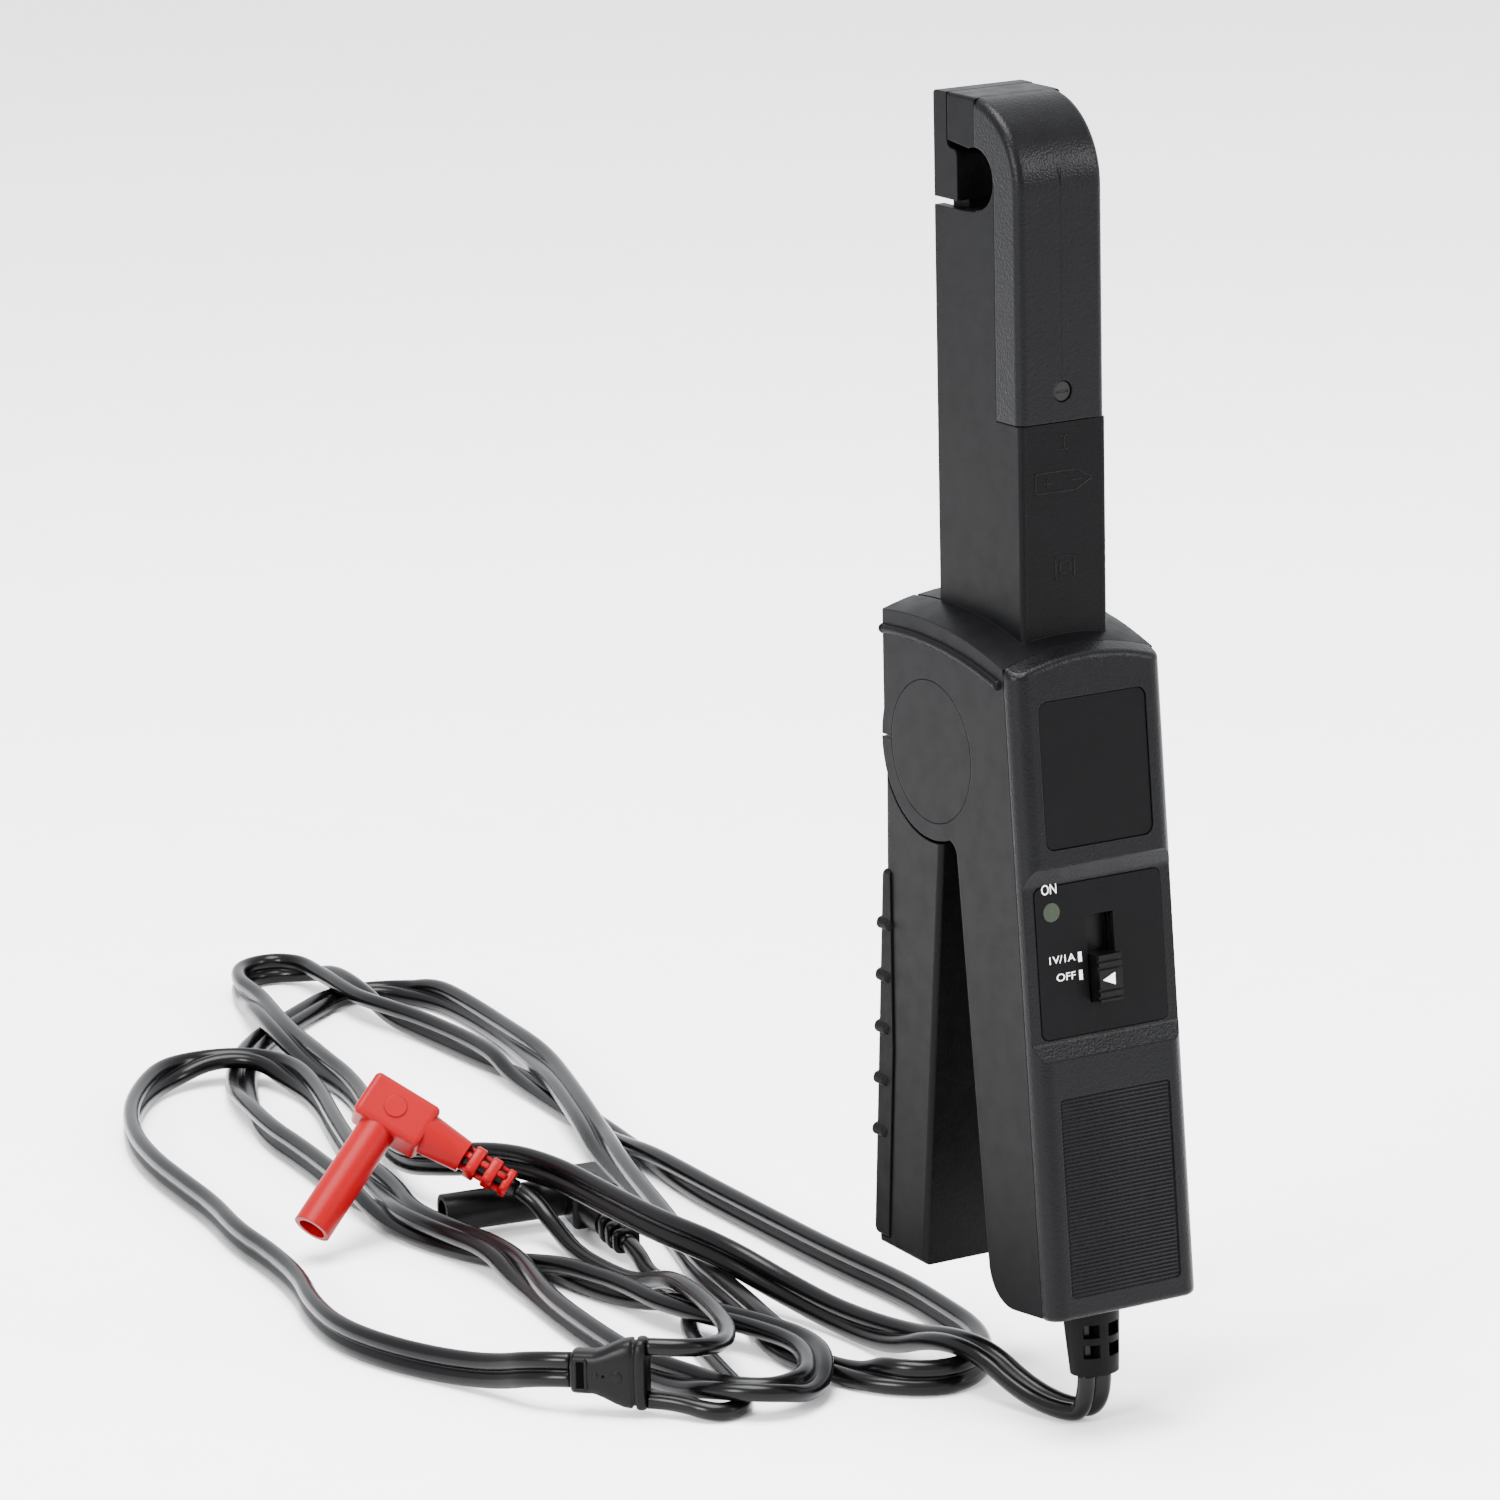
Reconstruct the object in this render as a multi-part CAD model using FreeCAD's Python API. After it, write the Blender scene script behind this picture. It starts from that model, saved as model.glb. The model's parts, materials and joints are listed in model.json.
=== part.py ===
import FreeCAD, Part
import math
import os

V = FreeCAD.Vector

# A hand-held AC/DC current clamp: an upright black clamp with a hook jaw, a squeeze
# lever and a slide switch, and a twin lead that splits to a red and a black plug.
# Millimetres. +X to the right of the front face, -Y out of the front face, +Z up.
# The origin is the centre of the round opening that the measured wire goes through.

# ---- jaw and stem
OPENING_R = 5.95            # the wire opening
JAW_HALF = 9.7              # half the jaw's and stem's width
JAW_FRONT = -14.2
JAW_REAR = 14.2
JAW_TOP = 15.3
NOSE_CORNER_R = 16.5        # the big corner at the top of the hook
SEAM_Y = -6.2               # side seam between nose and stem
SEAM_Z = -45.1              # lower end of the nose
HOOK_SPLIT_Y = 0.3          # nose to hook tip
HOOK_END_Y = 9.4            # rear face of the hook tip
HOOK_LOW_Z = 6.3
TIP_FACE_Y = 6.3            # the moving tip's face beside the opening
TIP_LOW_Z = -5.0
STEM_TOP_Z = -6.6
STEM_WALL = 2.2
ARM_HALF = 6.8
ARM_FRONT = 6.7
ARM_REAR = 12.2

# ---- body
BODY_HALF = 17.0
BODY_REAR = 23.6
FACE_Y = -22.3              # front face at FACE_Z
FACE_Z = -90.0
LEAN_DEG = -5.05            # the front face leans out as it goes down
COVER_DEPTH = 4.0           # front cover, from its face to the parting line
FACE_LENGTH = 125.4         # along the front face, from FACE_Z to the bottom
EDGE_R = 3.4                # the cover's long front edges
TOP_EDGE_R = 1.6            # its crowned top edge
WALL = 2.4
DOME_AT_Y = 12.0            # highest line of the crowned shoulder
DOME_Z = -82.4
DOME_R_SIDE = 100.0         # crown seen from the side
DOME_R_FRONT = 57.0         # crown seen from the front
PIVOT_Y = 7.0
PIVOT_Z = -110.7
HUB_R = 17.4
CAP_R = 13.9
CHEEK_INNER = 14.6          # inner face of the two hub cheeks
PIN_R = 2.5
SHELF_Z = -216.2            # bottom of the inner side of the handle

# ---- squeeze lever
LEVER_ARC_R = 18.0
LEVER_HALF = 16.9
LEVER_WALL = 2.4
PAD_WRAP = 4.6
RIB_PITCH = 10.6

# ---- things along the front face, as distances down it from FACE_Z
LABEL_SPAN = (6.1, 34.7)
LABEL_HALF = 12.1
STEP_SPAN = (37.6, 41.2, 71.6, 75.4)    # edge, foot, foot, edge of the switch recess
STEP_DEPTH = 2.1
PANEL_SPAN = (41.6, 71.2)
PANEL_HALF = 14.3
SLOT_SPAN = (48.4, 65.2)
SLOT_HALF = 3.1
KNOB_SPAN = (56.0, 65.0)
LED_AT = (-10.7, 46.7)
GRIP_SPAN = (82.3, 121.2)
GRIP_HALF = 12.6
SCREWS_DOWN = (37.8, 71.2)

# ---- inside the handle
BATTERY_HALF = 12.8
BATTERY_SPAN = (74.1, 120.5)            # a 9 V block, 46.4 mm tall
BATTERY_DEPTH = (2.6, 18.4)
STUD_X = 6.4
STUD_DEPTH = 10.8
BOARD_SPAN = (41.0, 68.4)

# ---- lead
FLOOR_Z = -241.0            # what the lead lies on
TWIN_WIDTH = 7.2
CORE = 3.6
LOW = FLOOR_Z + TWIN_WIDTH / 2
OVER = LOW + TWIN_WIDTH + 0.4
LOW1 = FLOOR_Z + CORE / 2
BOOT_TOP = (0.0, -20.2, -215.2)
BOOT_END = (0.0, -21.6, -230.3)
SPLITTER_AT = (-74.0, 37.0, -232.5)
SPLITTER_TURN = -42.5       # degrees about Z
SPLITTER_HALF = 7.5
SINGLES_UP = 5.4            # the two single leads leave this far above and below
RED_AT = (-53.0, 163.0, -214.0)
RED_PIN_DIR = (-24.2, -7.3, -21.1)
RED_LEAD_DIR = (19.6, -19.1, -15.8)
BLACK_AT = (-15.5, 147.5, -234.6)
BLACK_PIN_DIR = (-0.975, 0.22, -0.03)
BLACK_LEAD_DIR = (-0.22, -0.975, -0.07)
PLUG_BARREL_END = 31.0      # from the plug's elbow to the shroud's mouth
PLUG_RELIEF_END = 31.4      # from the elbow to the end of the strain relief
CONTACT_R = 2.0


# ================================================================ helpers
def box(x0, x1, y0, y1, z0, z1):
    """An upright block between two corners."""
    return Part.makeBox(x1 - x0, y1 - y0, z1 - z0, V(x0, y0, z0))


def rod(x0, x1, y, z, radius):
    """A cylinder along X."""
    return Part.makeCylinder(radius, x1 - x0, V(x0, y, z), V(1, 0, 0))


def round_path(points, radii):
    """Edges through points, each inner corner rounded by a tangent arc."""
    edges = []
    last = points[0]
    for i in range(1, len(points) - 1):
        if radii[i] <= 0:
            edges.append(Part.LineSegment(last, points[i]).toShape())
            last = points[i]
            continue
        back = (points[i - 1] - points[i]).normalize()
        ahead = (points[i + 1] - points[i]).normalize()
        half = back.getAngle(ahead) / 2
        reach = radii[i] / math.tan(half)
        start = points[i] + back * reach
        end = points[i] + ahead * reach
        middle = points[i] + (back + ahead).normalize() * (radii[i] / math.sin(half) - radii[i])
        if (start - last).Length > 1e-4:
            edges.append(Part.LineSegment(last, start).toShape())
        edges.append(Part.Arc(start, middle, end).toShape())
        last = end
    edges.append(Part.LineSegment(last, points[-1]).toShape())
    return edges


def slab(corners, x0, x1):
    """A side outline of (y, z) or (y, z, corner radius), as thick as x0 to x1."""
    points = [V(x0, c[0], c[1]) for c in corners]
    radii = [c[2] if len(c) > 2 else 0 for c in corners]
    start = (points[0] + points[-1]) * 0.5
    edges = round_path([start] + points + [start], [0] + radii + [0])
    return Part.Face(Part.Wire(edges)).extrude(V(x1 - x0, 0, 0))


def lean(shape):
    """Turns a piece made on the upright face at FACE_Y into its leaning place."""
    turned = shape.copy()
    turned.rotate(V(0, FACE_Y, FACE_Z), V(1, 0, 0), LEAN_DEG)
    return turned


def on_face(x0, x1, down0, down1, depth0, depth1):
    """A block on the front face: distances down it, and depths behind it."""
    return box(x0, x1, FACE_Y + depth0, FACE_Y + depth1, FACE_Z - down1, FACE_Z - down0)


def round_panel(half, span, depth0, depth1, radius):
    """A plate on the front face with rounded corners."""
    plate = on_face(-half, half, span[0], span[1], depth0, depth1)
    return plate.makeFillet(radius, [e for e in plate.Edges if is_along(e, V(0, 1, 0))])


def is_along(edge, direction):
    """True for a straight edge that runs along a direction."""
    if len(edge.Vertexes) != 2:
        return False
    run = edge.Vertexes[1].Point - edge.Vertexes[0].Point
    return abs(abs(run.normalize().dot(direction)) - 1) < 1e-6


def edges_near(shape, test):
    """The edges whose middle passes a test."""
    return [e for e in shape.Edges if test(e.CenterOfMass)]


def save(name, shape):
    """Writes one sub-part."""
    shape.exportStep("parts/" + name + ".step")
    print(name, "solids", len(shape.Solids), "volume", round(shape.Volume, 1), shape.isValid())


# ================================================================ jaw
def hook_outline():
    """The nose and hook tip in one, around the top of the opening."""
    return slab([(SEAM_Y, SEAM_Z), (JAW_FRONT, SEAM_Z), (JAW_FRONT, JAW_TOP, NOSE_CORNER_R),
                 (HOOK_END_Y, JAW_TOP), (HOOK_END_Y, HOOK_LOW_Z), (0.0, HOOK_LOW_Z - 1.0),
                 (0.0, 0.0), (SEAM_Y, 0.0)], -JAW_HALF, JAW_HALF)


def hook_core_shape(grow):
    """The upper magnetic core: down the nose and back over the opening."""
    return slab([(8.6 + grow, 11.4 + grow), (-11.4 - grow, 11.4 + grow, 13.9),
                 (-11.4 - grow, -8.6), (-7.6 + grow, -8.6), (-7.6 + grow, 8.2 - grow, 9.5),
                 (8.6 + grow, 8.2 - grow)], -5 - grow, 5 + grow)


def nose_cover():
    """The J-shaped nose, with its pocket for the core and its screw hole."""
    nose = hook_outline().cut(rod(-20, 20, 0, 0, OPENING_R))
    nose = nose.common(box(-20, 20, -30, HOOK_SPLIT_Y, -60, 30))
    rounded = edges_near(nose, lambda c: abs(abs(c.x) - JAW_HALF) < 0.01 and c.y < -7
                         and (c.y < JAW_FRONT + 0.01 or c.z > 2))
    nose = nose.makeFillet(1.7, rounded)
    nose = nose.cut(hook_core_shape(0.15))
    nose = nose.cut(box(-5.3, 5.3, -11.6, SEAM_Y + 1, SEAM_Z - 1, -7))
    well = Part.makeCylinder(2.1, 1.0, V(0, JAW_FRONT, -39.4), V(0, 1, 0))
    hole = Part.makeCylinder(1.2, 12, V(0, JAW_FRONT, -39.4), V(0, 1, 0))
    return nose.cut(well).cut(hole)


def hook_tip():
    """The block at the end of the hook."""
    tip = hook_outline().cut(rod(-20, 20, 0, 0, OPENING_R))
    tip = tip.common(box(-20, 20, HOOK_SPLIT_Y, 30, -60, 30))
    top = edges_near(tip, lambda c: abs(abs(c.x) - JAW_HALF) < 0.01 and c.z > JAW_TOP - 1)
    return tip.makeFillet(0.7, top).cut(hook_core_shape(0.15))


def jaw_tip():
    """The moving tip that closes the opening from behind."""
    tip = slab([(JAW_REAR, JAW_TOP, 0.8), (HOOK_END_Y + 0.35, JAW_TOP),
                (HOOK_END_Y + 0.35, 4.7, 1.6), (TIP_FACE_Y, 4.7, 1.4), (TIP_FACE_Y, TIP_LOW_Z),
                (JAW_REAR, TIP_LOW_Z)], -JAW_HALF, JAW_HALF)
    return tip.cut(moving_core_shape(0.15)).cut(arm_upper(0.1))


def moving_core_shape(grow):
    """The core bar inside the moving tip and the top of the arm."""
    return box(-4.6 - grow, 4.6 + grow, 10.6 - grow, 13.0 + grow, -3.4, 11.4 + grow)


def arm_upper(grow):
    """The spigot of the arm that carries the tip."""
    return box(-5 - grow, 5 + grow, 7.6 - grow, 10.4 + grow, -6, 1.6 + grow)


def jaw_arm():
    """The long arm in the stem, its root in the shoulder, its hub and the lever's tongue."""
    arm = box(-ARM_HALF, ARM_HALF, ARM_FRONT, ARM_REAR, -98, TIP_LOW_Z).fuse(arm_upper(0))
    root = slab([(4.5, -104), (4.5, -99), (ARM_FRONT, -97), (ARM_FRONT, -90.9), (14.6, -90.9),
                 (14.6, -80), (22.9, -80), (23.0, -96, 3), (15, -104)], -9.3, 9.3)
    root = root.cut(above_dome())
    hub = rod(-CHEEK_INNER + 0.3, CHEEK_INNER - 0.3, PIVOT_Y, PIVOT_Z, 9.0)
    tongue = slab([(3.0, -112), (20.0, -112), (21.0, -124), (17.5, -152), (9.5, -152),
                   (5.0, -128)], -9, 9)
    arm = arm.fuse([root, hub, tongue]).removeSplitter()
    arm = arm.cut(rod(-20, 20, PIVOT_Y, PIVOT_Z, PIN_R + 0.05))
    return arm.cut(rod(-6.0, 6.0, PIVOT_Y, PIVOT_Z, 7.0))


# ================================================================ housing
def dome():
    """The barrel whose skin is the crowned shoulder."""
    axis_z = DOME_Z - DOME_R_FRONT
    reach = 60.0
    edge_z = DOME_Z - DOME_R_SIDE + math.sqrt(DOME_R_SIDE ** 2 - reach ** 2)
    a = V(0, DOME_AT_Y - reach, axis_z)
    b = V(0, DOME_AT_Y - reach, edge_z)
    c = V(0, DOME_AT_Y + reach, edge_z)
    d = V(0, DOME_AT_Y + reach, axis_z)
    crown = Part.Arc(b, V(0, DOME_AT_Y, DOME_Z), c).toShape()
    sides = [Part.makeLine(c, d), Part.makeLine(d, a), Part.makeLine(a, b)]
    return Part.Face(Part.Wire([crown] + sides)).revolve(a, V(0, 1, 0), 360)


def above_dome():
    """Everything above the shoulder, as a tool to cut with."""
    return box(-40, 40, -60, 60, -112, -60).cut(dome())


def front_line(z):
    """The y of the front face at a height."""
    return FACE_Y - (FACE_Z - z) * math.tan(math.radians(-LEAN_DEG))


def body_block():
    """The outer side outline of handle and shoulder, with the round hub."""
    block = slab([(BODY_REAR, -76), (BODY_REAR, -112), (10.0, -127.0), (-1.4, -127.0, 3.0),
                  (-11.9, SHELF_Z, 8.0), (front_line(-214.4), -214.4),
                  (front_line(-76), -76)], -BODY_HALF, BODY_HALF)
    block = block.fuse(rod(-BODY_HALF, BODY_HALF, PIVOT_Y, PIVOT_Z, HUB_R)).removeSplitter()
    return block.cut(above_dome())


def cover_block():
    """The front slice of the body, forward of the parting line."""
    return lean(on_face(-40, 40, -30, 160, -20, COVER_DEPTH))


def shoulder_bead(side):
    """The half-round bead under the shoulder's edge, with a ball at its front end."""
    top = DOME_Z - 2.6 - 3.8
    drop = 6.0
    a = V(side * BODY_HALF, BODY_REAR - 0.4, top - 0.7)
    m = V(side * BODY_HALF, 6.0, top - 0.4)
    b = V(side * BODY_HALF, -16.4, top - drop + 1.6)
    path = Part.Wire([Part.Arc(a, m, b).toShape()])
    ring = Part.Wire([Part.makeCircle(0.95, a, V(0, -1, 0))])
    bead = path.makePipeShell([ring], True, False)
    return bead.fuse([Part.makeSphere(1.05, b), Part.makeSphere(1.05, a)])


def stem():
    """The lower half of the jaw: a channel open to the rear, growing out of the shoulder."""
    stem_block = slab([(JAW_FRONT, -96), (JAW_FRONT, SEAM_Z - 0.2), (SEAM_Y + 0.1, SEAM_Z - 0.2),
                       (SEAM_Y + 0.1, 0.0), (0.0, 0.0), (0.0, STEM_TOP_Z + 0.3),
                       (4.0, STEM_TOP_Z), (JAW_REAR, STEM_TOP_Z), (JAW_REAR, -96)],
                      -JAW_HALF, JAW_HALF)
    front = edges_near(stem_block, lambda c: abs(abs(c.x) - JAW_HALF) < 0.01
                       and c.y < JAW_FRONT + 0.01)
    stem_block = stem_block.makeFillet(0.9, front)
    return stem_block.cut(rod(-20, 20, 0, 0, OPENING_R))


def main_housing():
    """Stem, shoulder, hub cheeks and the rear shell of the handle in one moulding."""
    inside = JAW_HALF - STEM_WALL
    body = body_block().cut(cover_block())
    handle_room = slab([(-60, -93.5), (-2.0, -93.5), (-2.0, -110), (-4.0, -127),
                        (-14.1, -213.6), (-60, -213.6)], -BODY_HALF + WALL, BODY_HALF - WALL)
    hub_room = slab([(2.2, -112), (2.2, -140), (40, -140), (40, -117), (BODY_REAR - WALL, -112),
                     (BODY_REAR - WALL, -93.5), (-4, -93.5), (-4, -112)],
                    -CHEEK_INNER, CHEEK_INNER)
    hub_room = hub_room.fuse(rod(-CHEEK_INNER, CHEEK_INNER, PIVOT_Y, PIVOT_Z, 14.0))
    body = body.cut(handle_room).cut(hub_room)
    solid_stem = stem()
    body = body.fuse([solid_stem, shoulder_bead(-1), shoulder_bead(1)])
    arm_room = box(-inside, inside, 6.3, 40, -100, 0)
    wire_room = box(-5.3, 5.3, -11.0, 6.4, -100, -16.5)
    root_room = box(-9.8, 9.8, 5.5, 40, -103, -60).cut(box(-20, 20, -20, JAW_REAR, -90.2, -60))
    body = body.cut(arm_room).cut(wire_room).cut(root_room)
    body = body.cut(lower_core_shape(0.15))
    body = body.cut(box(-5.3, 5.3, -30, -6.0, -16.5, -8.0))
    for side in (-1, 1):
        outer = side * BODY_HALF
        inner = side * (BODY_HALF - 1.2)
        cap = rod(min(outer, inner), max(outer, inner), PIVOT_Y, PIVOT_Z, CAP_R + 0.12)
        body = body.cut(cap)
    body = body.cut(rod(-20, 20, PIVOT_Y, PIVOT_Z, PIN_R + 0.01))
    body = body.cut(box(BODY_HALF * -2, BODY_HALF * 2, BODY_REAR - 2.6, 40, PIVOT_Z - 0.25,
                        PIVOT_Z + 0.25))
    body = body.cut(Part.makeCylinder(1.2, 6, V(0, SEAM_Y - 2, -39.4), V(0, 1, 0)))
    body = body.fuse(screw_posts(False)).cut(screw_posts(True))
    body = body.cut(Part.makeCylinder(3.6, 8, V(0, BOOT_TOP[1], -218), V(0, 0, 1)))
    return body.removeSplitter()


def screw_places():
    """The four screws that join the two shells, as x and distance down the face."""
    return [(x, down) for x in (-12.2, 12.2) for down in SCREWS_DOWN]


def screw_posts(bore):
    """The posts for those screws, or their bores."""
    posts = []
    for x, down in screw_places():
        radius = 1.3 if bore else 2.6
        start = V(x, FACE_Y + COVER_DEPTH, FACE_Z - down)
        posts.append(lean(Part.makeCylinder(radius, 30, start, V(0, 1, 0))))
    cluster = posts[0].fuse(posts[1:])
    if bore:
        return cluster
    keep = slab([(-60, -93.5), (-1.0, -93.5), (-3.0, -127), (-13.0, -214), (-60, -214)],
                -BODY_HALF + 1, BODY_HALF - 1)
    return cluster.common(keep)


def front_cover():
    """The front shell: a tray with the label recess, the switch recess and the grip."""
    tray = on_face(-BODY_HALF, BODY_HALF, -20, FACE_LENGTH, 0, COVER_DEPTH - 0.12)
    long_edges = edges_near(tray, lambda c: abs(c.y - FACE_Y) < 0.01 and abs(c.x) > 1)
    tray = tray.makeFillet(EDGE_R, long_edges)
    foot = edges_near(tray, lambda c: abs(c.y - FACE_Y) < 0.01 and c.z < FACE_Z - 120)
    tray = tray.makeFillet(1.2, foot)
    edge0, foot0, foot1, edge1 = STEP_SPAN
    deep = FACE_Y + STEP_DEPTH
    step = slab([(FACE_Y - 5, FACE_Z - edge0), (FACE_Y, FACE_Z - edge0, 1.2),
                 (deep, FACE_Z - foot0, 2.0), (deep, FACE_Z - foot1, 2.0),
                 (FACE_Y, FACE_Z - edge1, 1.2), (FACE_Y - 5, FACE_Z - edge1)], -30, 30)
    tray = tray.cut(step)
    hollow = on_face(-BODY_HALF + WALL, BODY_HALF - WALL, 6.5, FACE_LENGTH - 2.4, 2.2, 10)
    deep_hollow = on_face(-BODY_HALF + WALL, BODY_HALF - WALL, 36.0, 73.9, 3.4, 10)
    tray = tray.cut(hollow.cut(on_face(-30, 30, 36.0, 73.9, 0, 3.4)).fuse(deep_hollow))
    tray = tray.cut(round_panel(LABEL_HALF + 0.15, LABEL_SPAN, -1, 0.75, 2.0))
    tray = tray.cut(round_panel(PANEL_HALF + 0.15, PANEL_SPAN, -3, STEP_DEPTH + 0.35, 1.6))
    tray = tray.cut(round_panel(GRIP_HALF, GRIP_SPAN, -1, 0.35, 1.0))
    tray = tray.cut(on_face(-SLOT_HALF, SLOT_HALF, SLOT_SPAN[0], SLOT_SPAN[1], -1, 10))
    led = Part.makeCylinder(1.9, 12, V(LED_AT[0], FACE_Y - 2, FACE_Z - LED_AT[1]), V(0, 1, 0))
    cover = lean(tray.cut(led)).cut(above_dome())
    top = edges_near(cover, lambda c: c.z > -92.5 and c.y < -20.5)
    return cover.makeFillet(TOP_EDGE_R, top)


# ================================================================ lever
def lever_outline(inset):
    """The lever's side outline, under the arc around the hub."""
    return slab([(BODY_REAR + 0.1 - inset, -112), (24.2 - inset, -137), (29.2 - inset, -210),
                 (28.8 - inset, -214.3 + inset), (12.1 + inset, -215.0 + inset),
                 (3.9 + inset, -126)], -LEVER_HALF + inset, LEVER_HALF - inset)


def lever_shell():
    """The rear squeeze lever, a shell that takes the arm's tongue."""
    shell = lever_outline(0)
    corners = edges_near(shell, lambda c: abs(abs(c.x) - LEVER_HALF) < 0.01 and c.z < -150)
    shell = shell.makeFillet(1.2, corners)
    shell = shell.cut(rod(-30, 30, PIVOT_Y, PIVOT_Z, LEVER_ARC_R))
    room = lever_outline(LEVER_WALL).cut(rod(-30, 30, PIVOT_Y, PIVOT_Z, LEVER_ARC_R + LEVER_WALL))
    shell = shell.cut(room.common(box(-30, 30, -30, 60, -206, -154)))
    shell = shell.cut(jaw_arm_tongue_room())
    return shell.cut(pad_shape(0.05, False))


def jaw_arm_tongue_room():
    """The socket for the tongue."""
    return slab([(2.8, -112), (20.3, -112), (21.15, -124), (17.6, -152.2), (9.4, -152.2),
                 (4.9, -128.1)], -9.1, 9.1)


def pad_shape(grow, ribs):
    """The grip pad that wraps the lever's rear edges."""
    outer = slab([(30.4 + grow, -137.0), (30.4 + grow, -214.2), (22.0, -214.2), (22.0, -137.0)],
                 -LEVER_HALF - 0.4 - grow, LEVER_HALF + 0.4 + grow)
    rear = slab([(25.2 + grow, -137.4 + grow, 1.5), (30.2 + grow, -212.6 - grow, 1.5),
                 (29.2 - PAD_WRAP - grow, -212.6 - grow), (24.2 - PAD_WRAP - grow, -137.4 + grow)],
                -LEVER_HALF - 0.4 - grow, LEVER_HALF + 0.4 + grow)
    core = slab([(23.0 - grow, -130.0), (28.2 - grow, -216.0), (15.0, -216.0), (15.0, -130.0)],
                -LEVER_HALF + 1.1 + grow, LEVER_HALF - 1.1 - grow)
    pad = rear.common(outer).cut(core)
    if not ribs:
        return pad
    rear_edges = edges_near(pad, lambda c: abs(abs(c.x) - LEVER_HALF - 0.4) < 0.01
                            and c.y > 26.2)
    pad = pad.makeFillet(1.0, rear_edges[:2])
    for i in range(5):
        z = -148.6 - i * RIB_PITCH
        y = 25.2 + (-137.4 - z) * 5.0 / 75.2
        bar = Part.makeCylinder(1.35, 2 * LEVER_HALF - 1, V(-LEVER_HALF + 0.5, y, z), V(1, 0, 0))
        ends = [rib_end(side, y, z) for side in (-1, 1)]
        pad = pad.fuse([bar] + ends)
    return pad.removeSplitter()


def rib_end(side, y, z):
    """A rib's end, turned round the pad's corner and closed by a ball."""
    x = side * (LEVER_HALF - 0.1)
    stub = Part.makeCylinder(1.25, 3.0, V(x, y - 3.0, z), V(0, 1, 0))
    return stub.fuse([Part.makeSphere(1.25, V(x, y - 3.0, z)),
                      Part.makeSphere(1.3, V(x * 0.985, y - 0.1, z))])


# ================================================================ inner parts
def lower_core_shape(grow):
    """The lower magnetic core, under the opening, from the nose to the arm."""
    return box(-5 - grow, 5 + grow, -11.4 - grow, 6.0 + grow, -15.4 - grow, -10.4 + grow)


def lower_core():
    """The lower core, clear of the arm that moves behind it."""
    return box(-5, 5, -11.4, 6.0, -15.4, -10.4)


def hall_sensor():
    """The flat sensor in the gap between the two cores."""
    return box(-3, 3, -11.0, -8.0, -10.2, -8.8)


def return_spring():
    """The torsion spring round the hub pin, coils and two legs in one wire."""
    helix = Part.makeHelix(1.5, 9.0, 4.6)
    helix.rotate(V(0, 0, 0), V(0, 1, 0), 90)
    helix.translate(V(-4.5, PIVOT_Y, PIVOT_Z))
    start = helix.Edges[0].Vertexes[0].Point
    ring = Part.Wire([Part.makeCircle(0.5, start, V(0, 1, 0.05))])
    return Part.Wire(helix.Edges).makePipeShell([ring], True, True)


def circuit_board():
    """The amplifier board behind the switch."""
    board = on_face(-12.5, 12.5, BOARD_SPAN[0], BOARD_SPAN[1], 5.6, 7.2)
    parts = [on_face(-9, -4, 61, 67, 7.2, 8.6), on_face(2, 9, 60, 67, 7.2, 8.4),
             on_face(-10, -7, 44, 47, 7.2, 8.4), on_face(6, 8, 44, 50, 7.2, 8.6)]
    return lean(board.fuse(parts))


def power_led():
    """The small lamp behind its window."""
    lamp = Part.makeCylinder(1.5, 2.6, V(LED_AT[0], FACE_Y + 3.0, FACE_Z - LED_AT[1]), V(0, 1, 0))
    return lean(lamp)


def led_window():
    """The clear window over the lamp."""
    pane = Part.makeCylinder(1.85, 1.1, V(LED_AT[0], FACE_Y + 1.9, FACE_Z - LED_AT[1]), V(0, 1, 0))
    return lean(pane)


def label_plate():
    """The blank plate in the upper recess."""
    return lean(round_panel(LABEL_HALF, (LABEL_SPAN[0] + 0.15, LABEL_SPAN[1] - 0.15),
                            0.25, 0.75, 1.9))


def switch_panel():
    """The plate round the slide switch, with its slot and lamp hole."""
    plate = round_panel(PANEL_HALF, (PANEL_SPAN[0] + 0.15, PANEL_SPAN[1] - 0.15),
                        STEP_DEPTH - 0.15, STEP_DEPTH + 0.35, 1.5)
    plate = plate.cut(on_face(-SLOT_HALF, SLOT_HALF, SLOT_SPAN[0], SLOT_SPAN[1], -1, 10))
    led = Part.makeCylinder(1.9, 12, V(LED_AT[0], FACE_Y - 2, FACE_Z - LED_AT[1]), V(0, 1, 0))
    return lean(plate.cut(led))


def switch_body():
    """The switch's case, soldered to the board, with the slider's channel."""
    case = on_face(-4.4, 4.4, SLOT_SPAN[0] - 1.5, SLOT_SPAN[1] + 1.5, 3.45, 5.6)
    return lean(case.cut(on_face(-2.9, 2.9, SLOT_SPAN[0], SLOT_SPAN[1], 0, 4.7)))


def slide_knob():
    """The ribbed slider that stands out of the slot."""
    down0, down1 = KNOB_SPAN
    knob = on_face(-2.6, 2.6, down0, down1, -1.0, 4.4)
    for i in range(6):
        down = down0 + 0.9 + i * 1.42
        if 2 <= i <= 3:
            continue
        knob = knob.cut(on_face(-4, 4, down, down + 0.55, -2, -0.45))
    return lean(knob)


def battery_studs(radius, length):
    """Two round studs on the battery's upper end."""
    base = FACE_Z - BATTERY_SPAN[0]
    return [Part.makeCylinder(radius, length, V(x, FACE_Y + STUD_DEPTH, base), V(0, 0, 1))
            for x in (-STUD_X, STUD_X)]


def battery():
    """The 9 V block battery in the lower handle."""
    cell = on_face(-BATTERY_HALF, BATTERY_HALF, BATTERY_SPAN[0], BATTERY_SPAN[1],
                   BATTERY_DEPTH[0], BATTERY_DEPTH[1])
    return lean(cell.fuse(battery_studs(2.6, 2.3)))


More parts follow.
